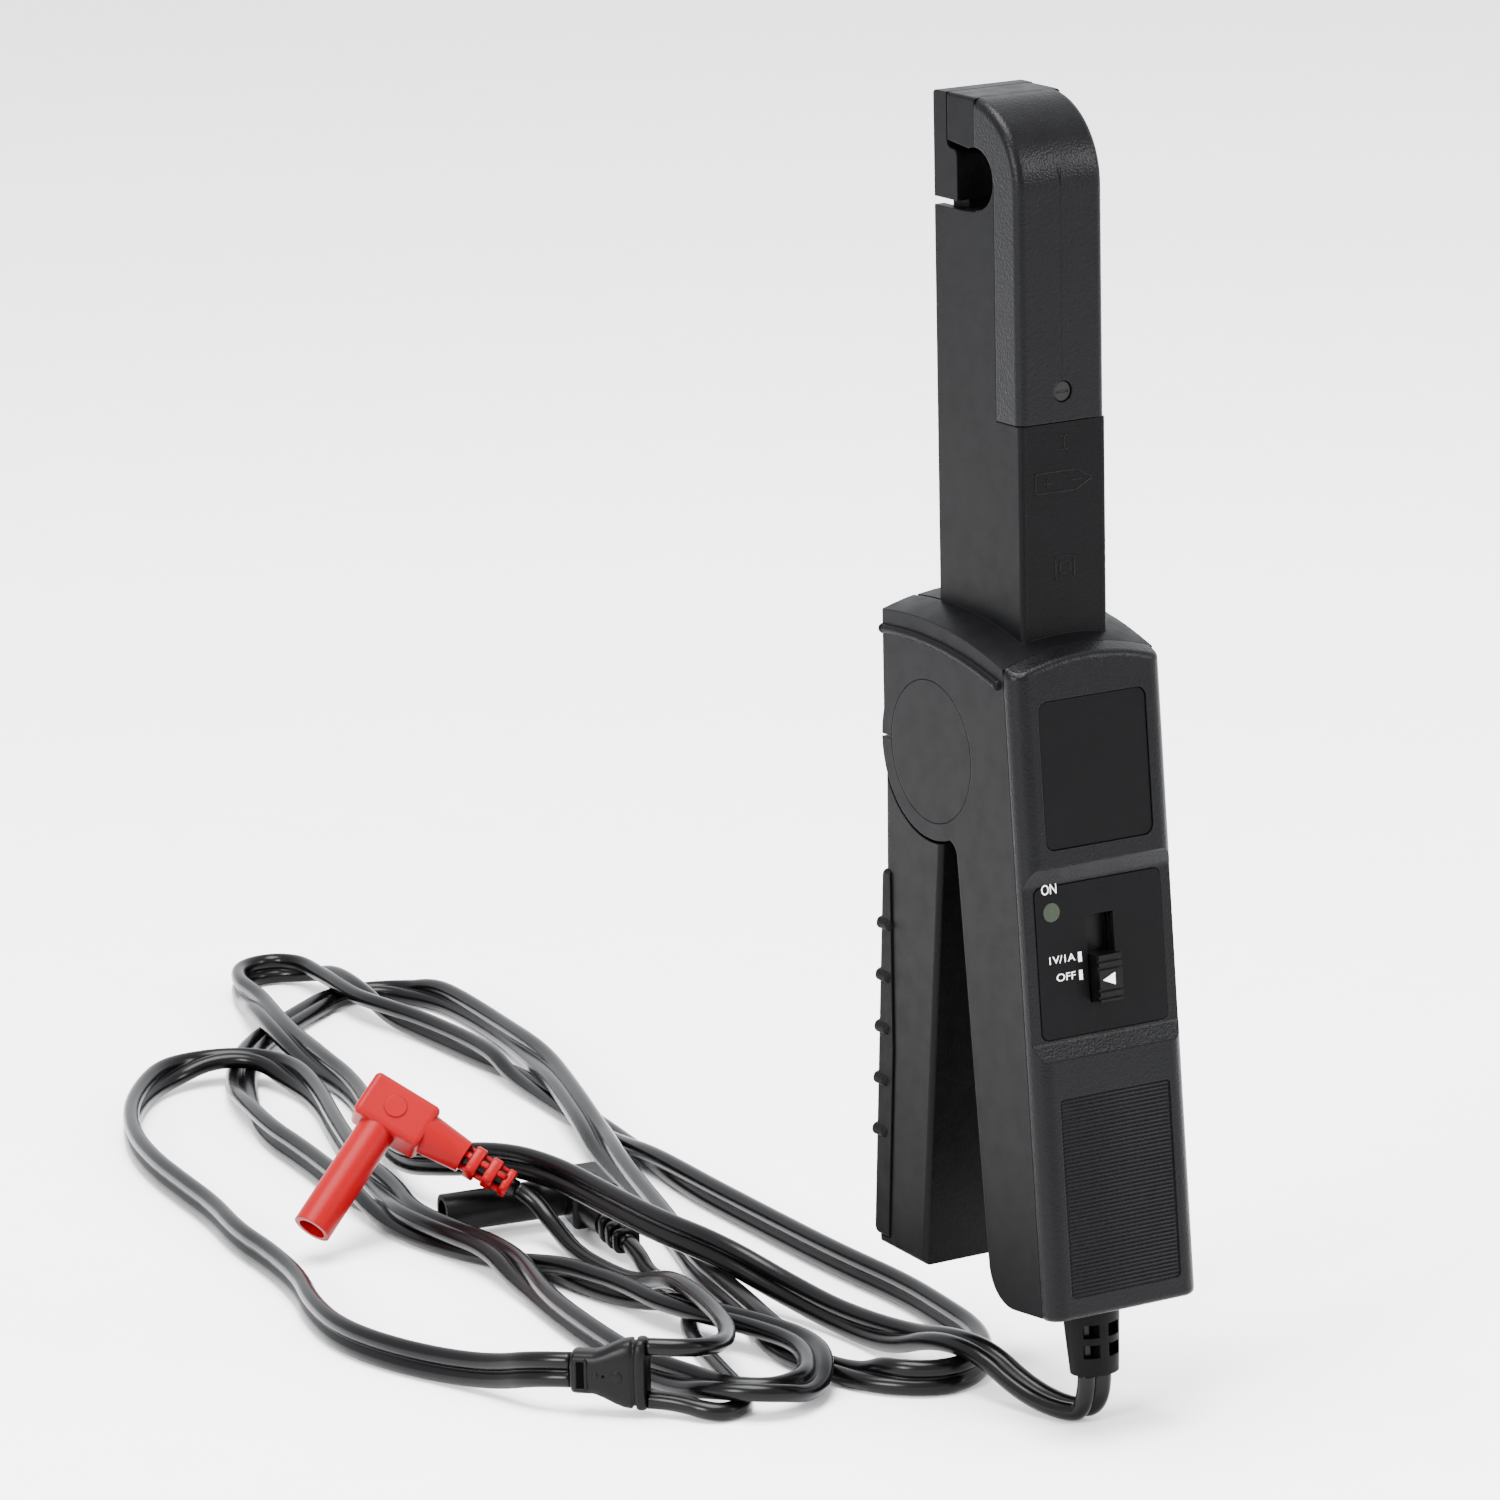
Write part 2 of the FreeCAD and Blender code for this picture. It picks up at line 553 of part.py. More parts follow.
def battery_snap():
    """The snap connector on the battery's studs."""
    top = BATTERY_SPAN[0]
    snap = on_face(-9.2, 9.2, top - 4.1, top - 0.1, STUD_DEPTH - 2.9, STUD_DEPTH + 3.1)
    for stud in battery_studs(2.7, 2.6):
        snap = snap.cut(stud)
    return lean(snap)


def housing_screws():
    """Four self-tapping screws, in from the inner side of the handle."""
    screws = []
    for x, down in screw_places():
        tip = V(x, FACE_Y + COVER_DEPTH + 1, FACE_Z - down)
        screws.append(lean(Part.makeCylinder(1.25, 11, tip, V(0, 1, 0))))
    return Part.makeCompound(screws)


def nose_screw():
    """The screw that holds the nose to the stem."""
    head = Part.makeCylinder(1.9, 0.6, V(0, JAW_FRONT + 0.35, -39.4), V(0, 1, 0))
    head = head.cut(box(-1.4, 1.4, JAW_FRONT, JAW_FRONT + 0.6, -39.7, -39.1))
    return head.fuse(Part.makeCylinder(1.15, 8, V(0, JAW_FRONT + 0.9, -39.4), V(0, 1, 0)))


def pivot_cap(side):
    """The flush round cap over one end of the hinge pin."""
    x0 = min(side * BODY_HALF, side * (BODY_HALF - 1.1))
    return rod(x0, x0 + 1.1, PIVOT_Y, PIVOT_Z, CAP_R)


def sensor_cable():
    """The flat cable from the sensor down the stem to the board."""
    along_stem = box(1.7, 5.0, -9.6, -8.9, -97.0, -16.6)
    return along_stem.fuse(box(1.7, 5.0, -16.0, -8.9, -98.0, -97.0))


# ================================================================ lead
def boot():
    """The strain relief under the handle: an oval taper with four windows a side."""
    top = oval(6.2, 4.6, V(*BOOT_TOP))
    end = oval(5.1, 3.9, V(*BOOT_END))
    relief = Part.makeLoft([top, end], True, True)
    for row in (0, 1):
        for side in (-1, 1):
            z = -221.4 - row * 4.0
            x = side * 2.5
            relief = relief.cut(box(x - 1.5, x + 1.5, -40, -21.6, z - 1.3, z + 1.3))
            relief = relief.cut(box(x - 1.5, x + 1.5, -20.4, 0, z - 1.3, z + 1.3))
    plug = Part.makeCylinder(3.4, 3.4, V(*BOOT_TOP), V(0, 0, 1))
    flange = Part.makeCylinder(4.4, 1.3, V(BOOT_TOP[0], BOOT_TOP[1], -213.1), V(0, 0, 1))
    lowest = box(-10, 10, -40, 0, BOOT_END[2] - 3, BOOT_END[2])
    return relief.cut(lowest).fuse([plug, flange]).cut(cover_and_housing_bottom())


def cover_and_housing_bottom():
    """What the boot must stay out of: the wall round its hole."""
    wall = lean(on_face(-20, 20, FACE_LENGTH - 2.4, FACE_LENGTH + 1.0, 0, 30))
    return wall.cut(Part.makeCylinder(3.5, 20, V(0, BOOT_TOP[1], -222), V(0, 0, 1)))


def oval(rx, ry, centre):
    """A flat oval ring."""
    ellipse = Part.Ellipse(centre, rx, ry)
    return Part.Wire([ellipse.toShape()])


def splitter():
    """The Y piece: a collar for the twin lead that flares to two single leads."""
    collar = box(-SPLITTER_HALF, -2.0, -3.1, 3.1, -4.3, 4.3)
    half = [(-2.2, 4.6), (2.0, 6.9), (SPLITTER_HALF, 7.4)]
    corners = [V(x, 0, z) for x, z in half] + [V(x, 0, -z) for x, z in reversed(half)]
    flare = Part.makePolygon(corners + corners[:1])
    body = Part.Face(flare).extrude(V(0, 6.8, 0))
    body.translate(V(0, -3.4, 0))
    body = body.makeFillet(1.0, [e for e in body.Edges if abs(e.CenterOfMass.y) > 3.3])
    body = body.fuse(collar.makeFillet(0.9, collar.Edges)).removeSplitter()
    for side in (-1, 1):
        body = body.cut(box(-6.2, -4.4, side * 3.1 - 0.7, side * 3.1 + 0.7, -3.0, 3.0))
        body = body.cut(box(4.4, 5.6, side * 3.4 - 0.8, side * 3.4 + 0.8, -6.0, 6.0))
    body.rotate(V(0, 0, 0), V(0, 0, 1), SPLITTER_TURN)
    body.translate(V(*SPLITTER_AT))
    return body


def plug_pose(shape, at, pin_dir, lead_dir):
    """Puts a plug made with its pin along X and its lead along Y where it lies."""
    turn = FreeCAD.Rotation(V(*pin_dir), V(*lead_dir), V(0, 0, 0), "XYZ")
    placed = shape.copy()
    placed.Placement = FreeCAD.Placement(V(*at), turn)
    return placed


def plug_shell():
    """The plug's moulding: block, tapered neck and the shroud round the contact."""
    block = box(-5.2, 5.2, -6.3, 9.5, -4.6, 4.6)
    block = block.makeFillet(1.3, block.Edges)
    shroud = Part.makeCylinder(4.15, PLUG_BARREL_END - 3, V(3, 0, 0), V(1, 0, 0))
    neck = Part.makeCone(4.5, 3.5, 10.0, V(0, 8.5, 0), V(0, 1, 0))
    mark = Part.makeCylinder(2.4, 0.35, V(0, 1.0, 4.5), V(0, 0, 1))
    shell = block.fuse([shroud, neck, mark]).removeSplitter()
    bore = Part.makeCylinder(3.0, 30, V(7.5, 0, 0), V(1, 0, 0))
    return shell.cut(bore).cut(Part.makeCylinder(CONTACT_R, 10, V(0, 0, 0), V(1, 0, 0)))


def plug_contact():
    """The sprung contact inside the shroud."""
    stalk = Part.makeCylinder(CONTACT_R, PLUG_BARREL_END - 4.0, V(0, 0, 0), V(1, 0, 0))
    return stalk.cut(box(9.0, 40, -0.25, 0.25, -5, 5))


def plug_relief():
    """The ladder-like strain relief: rings on thin bars."""
    start = 18.5
    ring_length = 3.4
    gap = (PLUG_RELIEF_END - start - 2 * ring_length - 1.6) / 2
    relief = None
    y = start + gap
    for i in range(2):
        ring = box(-3.4 + 0.15 * i, 3.4 - 0.15 * i, y, y + ring_length, -3.1, 3.1)
        relief = ring if relief is None else relief.fuse(ring)
        y += ring_length + gap
    end = box(-2.7, 2.7, PLUG_RELIEF_END - 1.6, PLUG_RELIEF_END, -2.5, 2.5)
    bars = [box(-0.8, 0.8, start, PLUG_RELIEF_END - 1, side * 2.4 - 0.5, side * 2.4 + 0.5)
            for side in (-1, 1)]
    relief = relief.fuse([end] + bars).removeSplitter()
    return relief.cut(Part.makeCylinder(1.9, 30, V(0, 10, 0), V(0, 1, 0)))


def direction(vector):
    """A unit vector."""
    return V(*vector).normalize()


def plug_lead_end(at, lead_dir):
    """Where a single lead enters a plug's relief."""
    return V(*at) + direction(lead_dir) * PLUG_RELIEF_END


def splitter_point(along, up):
    """A point on the splitter's middle plane."""
    turn = math.radians(SPLITTER_TURN)
    return V(SPLITTER_AT[0] + along * math.cos(turn), SPLITTER_AT[1] + along * math.sin(turn),
             SPLITTER_AT[2] + up)


def lead_tube(name, points, diameter):
    """A tube along straight runs joined by the largest arcs that they allow."""
    runs = [(b - a).Length for a, b in zip(points, points[1:])]
    radii = [0.0]
    for i in range(1, len(points) - 1):
        turn = (points[i] - points[i - 1]).getAngle(points[i + 1] - points[i])
        radii.append(0.45 * min(runs[i - 1], runs[i]) / math.tan(turn / 2))
    radii.append(0.0)
    tight = [(i, round(r, 1)) for i, r in enumerate(radii) if 0 < r < 3 * diameter]
    ratios = [i for i in range(1, len(runs)) if not 0.48 < runs[i] / runs[i - 1] < 2.1]
    path = Part.Wire(round_path(points, radii))
    section = Part.Wire([Part.makeCircle(diameter / 2, points[0], points[1] - points[0])])
    tube = path.makePipeShell([section], True, False)
    ideal = math.pi * diameter ** 2 / 4 * path.Length
    print(name, "length", round(path.Length, 1), "smallest radius", round(min(radii[1:-1]), 1),
          "under 3 diameters", tight, "longest run", round(max(runs), 1), "uneven", ratios,
          "volume/ideal", round(tube.Volume / ideal, 4))
    return tube


def twin_route():
    """The twin lead on the floor, from the boot to the splitter."""
    route = [V(*BOOT_END)]
    # down from the boot, over the strand that doubles back beside the base
    route += [V(0, -21.6, LOW + 0.2), V(-3.4, -15.4, LOW), V(-6, -6, LOW + 1.4)]
    route += [V(-8.6, 4, OVER), V(-10.4, 16, OVER), V(-10.6, 32, LOW + 1), V(-11.6, 51, LOW)]
    # up over the black plug and down again
    route += [V(-14.4, 69, LOW + 4), V(-20.5, 84, -229.4), V(-23.5, 103, -229)]
    route += [V(-24.6, 122, -228), V(-25.8, 141, -226.6), V(-29.6, 156, -226.6)]
    route += [V(-36, 171, -229.6), V(-35.5, 192, -233.6), V(-24, 224, LOW), V(-13, 253, LOW)]
    # the far loop: over the lower arc, round a tight turn and back over the arc
    route += [V(-10.5, 277, LOW + 1.5), V(-7.5, 298, OVER), V(-3, 315, OVER)]
    route += [V(1.5, 330, LOW + 1.5), V(4.5, 342, LOW), V(10, 352, LOW), V(19, 353.5, LOW)]
    route += [V(25, 346, LOW + 1.5), V(24.5, 334, OVER), V(22.5, 319, OVER)]
    route += [V(22, 304, LOW + 1.5), V(24, 286, LOW), V(24, 262, LOW), V(23, 236, LOW)]
    # the long strand back to the base, and the turn behind it
    route += [V(18, 196, LOW), V(11.4, 152, LOW), V(9.6, 115, LOW), V(8.4, 84, LOW)]
    route += [V(8.8, 60, LOW), V(6.8, 42, LOW), V(4.6, 27, LOW), V(-1.6, 14, LOW)]
    route += [V(-12.8, 8, LOW), V(-22.6, 13.6, LOW), V(-26.2, 25.6, LOW), V(-29, 39, LOW)]
    route += [V(-28, 53, LOW), V(-23.5, 69, LOW), V(-20.4, 84, LOW), V(-17.4, 99, LOW)]
    route += [V(-8.4, 124, LOW), V(-0.5, 150, LOW)]
    # across the long strand at a shallow angle, so it stays high for longer
    route += [V(6.5, 175, LOW + 1.6), V(12.5, 193, LOW + 6.4), V(18, 209, OVER)]
    route += [V(23.5, 225, OVER), V(30, 245, LOW + 5.4), V(36.5, 272, LOW + 0.5)]
    # the lower arc, under both strands of the far loop
    route += [V(39.5, 295, LOW), V(40, 311, LOW), V(35, 325, LOW), V(23, 328.5, LOW)]
    route += [V(7, 317, LOW), V(-8, 306, LOW), V(-19, 294, LOW), V(-30, 276, LOW)]
    route += [V(-39, 255, LOW), V(-46, 234, LOW), V(-49, 214, LOW), V(-53, 194, LOW)]
    route += [V(-56, 174, LOW), V(-54, 155, LOW), V(-48, 137, LOW), V(-42.8, 119, LOW)]
    # past the single leads and over the turn behind the base
    route += [V(-40.2, 101, LOW), V(-38.2, 86, LOW + 0.6), V(-36.8, 74, -233.8)]
    route += [V(-34.4, 64, -233.6), V(-30.4, 52, OVER), V(-28.5, 39, OVER), V(-32, 28, -231)]
    route += [V(-39.5, 18.5, LOW + 3), V(-49.6, 16.4, -232.8), V(-57, 23.6, -233)]
    # up on the last strand to pass the black plug's tip, then out round the left loop
    route += [V(-58.8, 36, LOW), V(-60, 52, LOW), V(-58, 74, LOW), V(-55, 94, LOW)]
    route += [V(-51, 111, LOW + 2), V(-48.5, 127, OVER), V(-50.5, 143, OVER)]
    route += [V(-51.5, 160, OVER), V(-46, 177, LOW + 3), V(-41.5, 200, LOW)]
    route += [V(-32, 229, LOW), V(-23.5, 251, LOW), V(-20.5, 267, LOW + 1.5)]
    route += [V(-21.5, 280, OVER), V(-31, 287, OVER), V(-43, 286.5, LOW + 1)]
    route += [V(-54, 277, LOW), V(-64.5, 262, LOW), V(-72.5, 244, LOW), V(-77, 226, LOW)]
    route += [V(-79.4, 208, LOW), V(-81.6, 189, LOW), V(-86, 170, LOW), V(-87.4, 152, LOW)]
    route += [V(-90.6, 134, LOW), V(-96.4, 118, LOW), V(-99.4, 101, LOW), V(-97, 85, LOW)]
    route += [V(-91.6, 71, LOW), V(-87.2, 58.6, LOW + 1.4)]
    route += [splitter_point(-SPLITTER_HALF - 7, 0), splitter_point(-SPLITTER_HALF, 0)]
    return route


def red_route():
    """The red single lead, from the splitter over the twin lead to the red plug."""
    plug_end = plug_lead_end(RED_AT, RED_LEAD_DIR)
    route = [splitter_point(SPLITTER_HALF, SINGLES_UP), splitter_point(SPLITTER_HALF + 5, SINGLES_UP)]
    route += [V(-60, 27, -227.3), V(-54, 29, -227.8), V(-48.5, 35, -228.6), V(-43.5, 44, -229.4)]
    route += [V(-40, 53, -229.2), V(-38, 61, -228), V(-36.5, 69, -227.6), V(-34, 77.5, -228.6)]
    route += [V(-32, 87, -232.5), V(-31.5, 97, -238), V(-31.4, 110, LOW1)]
    route += [V(-31.2, 124, LOW1 + 0.3), V(-30.2, 135, -235.6)]
    route += [plug_end + direction(RED_LEAD_DIR) * 4, plug_end]
    return route


def black_route():
    """The black single lead, from the splitter under the twin lead to the black plug."""
    plug_end = plug_lead_end(BLACK_AT, BLACK_LEAD_DIR)
    route = [splitter_point(SPLITTER_HALF, -SINGLES_UP), splitter_point(SPLITTER_HALF + 5, -SINGLES_UP)]
    route += [V(-60.0, 20.0, LOW1), V(-53.4, 21.0, LOW1), V(-49.2, 28.0, LOW1)]
    route += [V(-46.8, 38, LOW1), V(-43.6, 50, LOW1), V(-40.2, 62, LOW1), V(-34.4, 74, LOW1)]
    route += [V(-27.0, 82, LOW1), V(-25.6, 92, LOW1), V(-26.0, 103, LOW1)]
    route += [plug_end + direction(BLACK_LEAD_DIR) * 6.0, plug_end]
    return route


# ================================================================ write the parts
os.makedirs("parts", exist_ok=True)
save("main_housing", main_housing())
save("front_cover", front_cover())
save("nose_cover", nose_cover())
save("hook_tip", hook_tip())
save("nose_screw", nose_screw())
save("hook_core", hook_core_shape(0))
save("lower_core", lower_core())
save("hall_sensor", hall_sensor())
save("sensor_cable", sensor_cable())
save("hinge_pin", rod(-15.8, 15.8, PIVOT_Y, PIVOT_Z, PIN_R))
save("pivot_cap_left", pivot_cap(-1))
save("pivot_cap_right", pivot_cap(1))
save("return_spring", return_spring())
save("circuit_board", circuit_board())
save("power_led", power_led())
save("led_window", led_window())
save("label_plate", label_plate())
save("switch_panel", switch_panel())
save("switch_body", switch_body())
save("slide_knob", slide_knob())
save("battery", battery())
save("battery_snap", battery_snap())
save("housing_screws", housing_screws())
save("jaw_arm", jaw_arm())
save("jaw_tip", jaw_tip())
save("moving_core", moving_core_shape(0))
save("lever_shell", lever_shell())
save("grip_pad", pad_shape(0, True))
save("lead_boot", boot())
save("splitter", splitter())
save("twin_lead", lead_tube("twin_lead", twin_route(), TWIN_WIDTH))
save("red_lead", lead_tube("red_lead", red_route(), CORE))
save("black_lead", lead_tube("black_lead", black_route(), CORE))
for colour, at, pin_dir, lead_dir in (("red", RED_AT, RED_PIN_DIR, RED_LEAD_DIR),
                                      ("black", BLACK_AT, BLACK_PIN_DIR, BLACK_LEAD_DIR)):
    save(colour + "_plug", plug_pose(plug_shell(), at, pin_dir, lead_dir))
    save(colour + "_contact", plug_pose(plug_contact(), at, pin_dir, lead_dir))
    save(colour + "_relief", plug_pose(plug_relief(), at, pin_dir, lead_dir))
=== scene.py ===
# %% [markdown]
# # A hand-held current clamp
# The clamp closes its jaw round a wire and sends a small voltage down its lead to a meter.
# The shapes that move or fasten come ready made from the CAD model, which is loaded first
# and never changed. This lesson adds what CAD leaves out: the camera and light, the lead's
# true shape, the finishes of the mouldings, and the printed and raised marks.

# %% Load the frame
import json
import math

import bpy
import numpy as np
from mathutils import Matrix, Vector


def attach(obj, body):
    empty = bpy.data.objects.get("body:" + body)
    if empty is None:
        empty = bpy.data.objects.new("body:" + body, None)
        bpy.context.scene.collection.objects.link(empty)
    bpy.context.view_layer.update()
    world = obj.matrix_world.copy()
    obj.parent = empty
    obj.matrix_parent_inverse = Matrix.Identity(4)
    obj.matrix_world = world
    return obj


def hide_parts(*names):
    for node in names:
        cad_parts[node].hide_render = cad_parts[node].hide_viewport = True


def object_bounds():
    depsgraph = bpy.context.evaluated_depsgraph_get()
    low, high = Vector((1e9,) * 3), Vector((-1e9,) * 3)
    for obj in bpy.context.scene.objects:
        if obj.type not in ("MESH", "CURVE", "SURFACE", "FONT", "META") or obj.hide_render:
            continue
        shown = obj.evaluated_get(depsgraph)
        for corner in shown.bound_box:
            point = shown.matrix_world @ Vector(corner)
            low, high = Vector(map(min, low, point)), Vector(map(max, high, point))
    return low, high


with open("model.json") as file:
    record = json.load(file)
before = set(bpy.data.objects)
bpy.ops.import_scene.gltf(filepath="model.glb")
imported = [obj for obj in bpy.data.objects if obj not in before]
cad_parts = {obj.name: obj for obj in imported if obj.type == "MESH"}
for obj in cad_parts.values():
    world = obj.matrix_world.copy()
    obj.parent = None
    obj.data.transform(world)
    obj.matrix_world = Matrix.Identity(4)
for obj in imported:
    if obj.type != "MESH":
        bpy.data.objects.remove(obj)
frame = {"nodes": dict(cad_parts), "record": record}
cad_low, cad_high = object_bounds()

MM = 0.001
print("nodes", len(frame["nodes"]), "box", [round(v, 3) for v in (*cad_low, *cad_high)])

# %% [markdown]
# ## The camera
# A product picture is taken from far away with a long lens, so upright edges stay nearly
# parallel. The camera's three axes are worked out from its azimuth, its height angle and a
# small roll, and are put straight into its matrix.

# %% Camera
CAMERA_AT = (-0.76707, -1.16482, 0.23197)
AZIMUTH, ELEVATION, ROLL = (math.radians(a) for a in (-31.2, 13.8, 1.2))
back = Vector((math.sin(AZIMUTH) * math.cos(ELEVATION),
               -math.cos(AZIMUTH) * math.cos(ELEVATION), math.sin(ELEVATION)))
level = Vector((math.cos(AZIMUTH), math.sin(AZIMUTH), 0.0))
upright = back.cross(level)
across = math.cos(ROLL) * level - math.sin(ROLL) * upright
upward = math.sin(ROLL) * level + math.cos(ROLL) * upright
camera = bpy.data.objects.new("camera", bpy.data.cameras.new("camera"))
camera.data.lens, camera.data.sensor_width = 180, 36
camera.data.clip_start, camera.data.clip_end = 0.05, 30
camera.matrix_world = Matrix.Translation(CAMERA_AT) @ Matrix((across, upward, back)).transposed().to_4x4()
bpy.context.scene.collection.objects.link(camera)
bpy.context.scene.camera = camera
print("camera looks along", [round(-v, 3) for v in back])

# %% [markdown]
# ## Helpers for surfaces
# Most new pieces are a grid of points: rows along the piece, columns round its section. The
# faces join each point to its neighbours, and a fan of triangles closes each end. The whole
# grid is worked out at once as an array, which is faster and shorter than placing each point.

# %% Grid meshes
def closed_grid(points):
    """Faces of a tube of n rows by m columns, its columns closed, with a fan at both ends.
    Row i and column j have index i*m + j; the two end centres come after the grid."""
    n, m = points.shape[:2]
    i, j = np.meshgrid(np.arange(n - 1), np.arange(m), indexing="ij")
    k = (j + 1) % m
    quads = np.stack([i * m + j, i * m + k, (i + 1) * m + k, (i + 1) * m + j], -1).reshape(-1, 4)
    verts = np.concatenate([points.reshape(-1, 3), [points[0].mean(0)], [points[-1].mean(0)]])
    ring = np.arange(m)
    first = np.stack([(ring + 1) % m, ring, np.full(m, n * m)], -1)
    base = (n - 1) * m
    last = np.stack([base + ring, base + (ring + 1) % m, np.full(m, n * m + 1)], -1)
    return verts, quads.tolist() + first.tolist() + last.tolist()


def make_piece(name, parts, smooth=True):
    """One object from several (vertices, faces) pairs, its faces kept as they are given."""
    verts, faces, start = [], [], 0
    for v, f in parts:
        verts.append(np.asarray(v, float))
        faces += [tuple(int(c) + start for c in face) for face in f]
        start += len(v)
    mesh = bpy.data.meshes.new(name)
    mesh.from_pydata(np.concatenate(verts).tolist(), [], faces)
    mesh.polygons.foreach_set("use_smooth", np.full(len(mesh.polygons), smooth))
    mesh.validate()
    piece = bpy.data.objects.new(name, mesh)
    bpy.context.scene.collection.objects.link(piece)
    print(name, len(verts), "parts", len(faces), "faces")
    return piece


print("helpers: closed_grid, make_piece")

# %% [markdown]
# ## Moulded plastic
# Almost all of this object is one black plastic in two finishes. The front mouldings come
# from a spark-eroded mould and have a fine grain, the sides are polished to a satin. Grain is
# a small noise that tilts the surface, handling marks are a large noise in the roughness, and
# a Bevel node rounds each edge by a fraction of a millimetre so that it catches the light.
# The noise is read from Object coordinates, so it stays put on the part as the part moves.

# %% Plastic materials
def link(tree, source, socket, target, name):
    """Joins an output to an input by their names."""
    tree.links.new(source.outputs[socket], target.inputs[name])


def noise(tree, size, detail):
    """Noise whose lumps are about size metres across, on Object coordinates."""
    where = tree.nodes.new("ShaderNodeTexCoord")
    grain = tree.nodes.new("ShaderNodeTexNoise")
    grain.inputs["Scale"].default_value = 1.0 / size
    grain.inputs["Detail"].default_value = detail
    grain.inputs["Roughness"].default_value = 0.55
    link(tree, where, "Object", grain, "Vector")
    return grain


def spread(tree, source, socket, low, high, bottom, top):
    """Maps low..high of a value to bottom..top."""
    node = tree.nodes.new("ShaderNodeMapRange")
    for name, value in (("From Min", low), ("From Max", high), ("To Min", bottom), ("To Max", top)):
        node.inputs[name].default_value = value
    link(tree, source, socket, node, "Value")
    return node


def tint(tree, factor, socket, dark, light):
    """A colour between dark and light."""
    ramp = tree.nodes.new("ShaderNodeValToRGB")
    ramp.color_ramp.elements[0].position, ramp.color_ramp.elements[1].position = 0.3, 0.7
    ramp.color_ramp.elements[0].color = (*dark, 1)
    ramp.color_ramp.elements[1].color = (*light, 1)
    link(tree, factor, socket, ramp, "Fac")
    return ramp


finishes = {}


def plastic(name, colour, rough, grain=0.0004, depth=0.00004, strength=0.5, specular=0.4,
            edge=0.0003, front_only=False, vary=0.18, metal=0.0):
    """A moulded finish: colour and roughness vary by `vary` over 15 mm, and grain of a given
    size and depth tilts the normal. front_only keeps the grain to faces that look along -Y.
    The finish is kept under its name in `finishes`."""
    material = bpy.data.materials.new(name)
    material.use_nodes = True
    tree = material.node_tree
    shader = tree.nodes["Principled BSDF"]
    shader.inputs["Specular IOR Level"].default_value = specular
    shader.inputs["Metallic"].default_value = metal
    broad = noise(tree, 0.015, 3.0)
    dark = [c * (1 - vary) for c in colour]
    light = [c * (1 + vary) for c in colour]
    link(tree, tint(tree, broad, "Fac", dark, light), "Color", shader, "Base Color")
    marks = noise(tree, 0.004, 4.0)
    rub = spread(tree, marks, "Fac", 0.35, 0.65, rough * (1 - vary / 2), rough * (1 + vary / 2))
    link(tree, rub, "Result", shader, "Roughness")
    rounded = tree.nodes.new("ShaderNodeBevel")
    rounded.samples = 4
    rounded.inputs["Radius"].default_value = edge
    bump = tree.nodes.new("ShaderNodeBump")
    bump.inputs["Distance"].default_value = depth
    bump.inputs["Strength"].default_value = strength
    link(tree, noise(tree, grain, 1.5), "Fac", bump, "Height")
    link(tree, rounded, "Normal", bump, "Normal")
    if front_only:
        facing = tree.nodes.new("ShaderNodeTexCoord")
        split = tree.nodes.new("ShaderNodeSeparateXYZ")
        link(tree, facing, "Normal", split, "Vector")
        fade = spread(tree, split, "Y", -0.9, -0.5, strength, strength * 0.16)
        link(tree, fade, "Result", bump, "Strength")
    link(tree, bump, "Normal", shader, "Normal")
    finishes[name] = material
    return material


plastic("housing_plastic", (0.0012, 0.0012, 0.0014), 0.4, grain=0.0005, depth=0.00007,
        strength=1.0, specular=0.05, front_only=True)
plastic("textured_plastic", (0.0014, 0.0014, 0.0017), 0.33, grain=0.00045, depth=0.0001,
        strength=1.0, specular=0.085)
plastic("panel_plastic", (0.0013, 0.0013, 0.0015), 0.48, grain=0.0003, depth=0.00003,
        strength=0.5, specular=0.05)
plastic("pad_rubber", (0.0012, 0.0012, 0.0013), 0.5, specular=0.05, depth=0.00002,
        strength=0.3)
plastic("core_steel", (0.5, 0.5, 0.52), 0.35, metal=1.0, vary=0.1)
plastic("pin_steel", (0.6, 0.59, 0.57), 0.28, metal=1.0, vary=0.1, strength=0.15)
plastic("board_green", (0.02, 0.18, 0.07), 0.3, strength=0.2)
plastic("cable_grey", (0.3, 0.3, 0.32), 0.5, strength=0.2)
plastic("lamp_lens", (0.018, 0.024, 0.014), 0.3, specular=0.12, grain=0.0012,
        depth=0.00008, strength=0.5, vary=0.35)
plastic("screw_black", (0.006, 0.006, 0.0055), 0.4, strength=0.15, specular=0.12)
plastic("switch_plastic", (0.0011, 0.0011, 0.0012), 0.34, strength=0.15, specular=0.08,
        edge=0.0001)
plastic("battery_case", (0.08, 0.08, 0.09), 0.3, strength=0.1)
plastic("lead_jacket", (0.0011, 0.0011, 0.0012), 0.24, grain=0.0008, depth=0.00001,
        strength=0.06, specular=0.12, vary=0.05)
plastic("splitter_plastic", (0.0012, 0.0012, 0.0013), 0.36, specular=0.09, strength=0.3)
plastic("plug_red", (0.17, 0.0, 0.002), 0.34, grain=0.0006, depth=0.00003, strength=0.3,
        specular=0.09, vary=0.05)
plastic("plug_black", (0.0012, 0.0012, 0.0013), 0.34, specular=0.09, strength=0.25)
plastic("contact_nickel", (0.7, 0.68, 0.63), 0.2, metal=1.0, vary=0.08, strength=0.1)
white_print = plastic("white_print", (0.78, 0.78, 0.78), 0.55, strength=0.2, vary=0.04)
# Painted shade: a near-black matte finish for the splitter's slot block and a small disc, standing in for
# the shade inside them.
hole_shade_black = plastic("hole_shade_black", (0.0006, 0.0006, 0.0006), 0.9, strength=0.0,
                       specular=0.02, vary=0.0)
print("finishes", len(finishes))
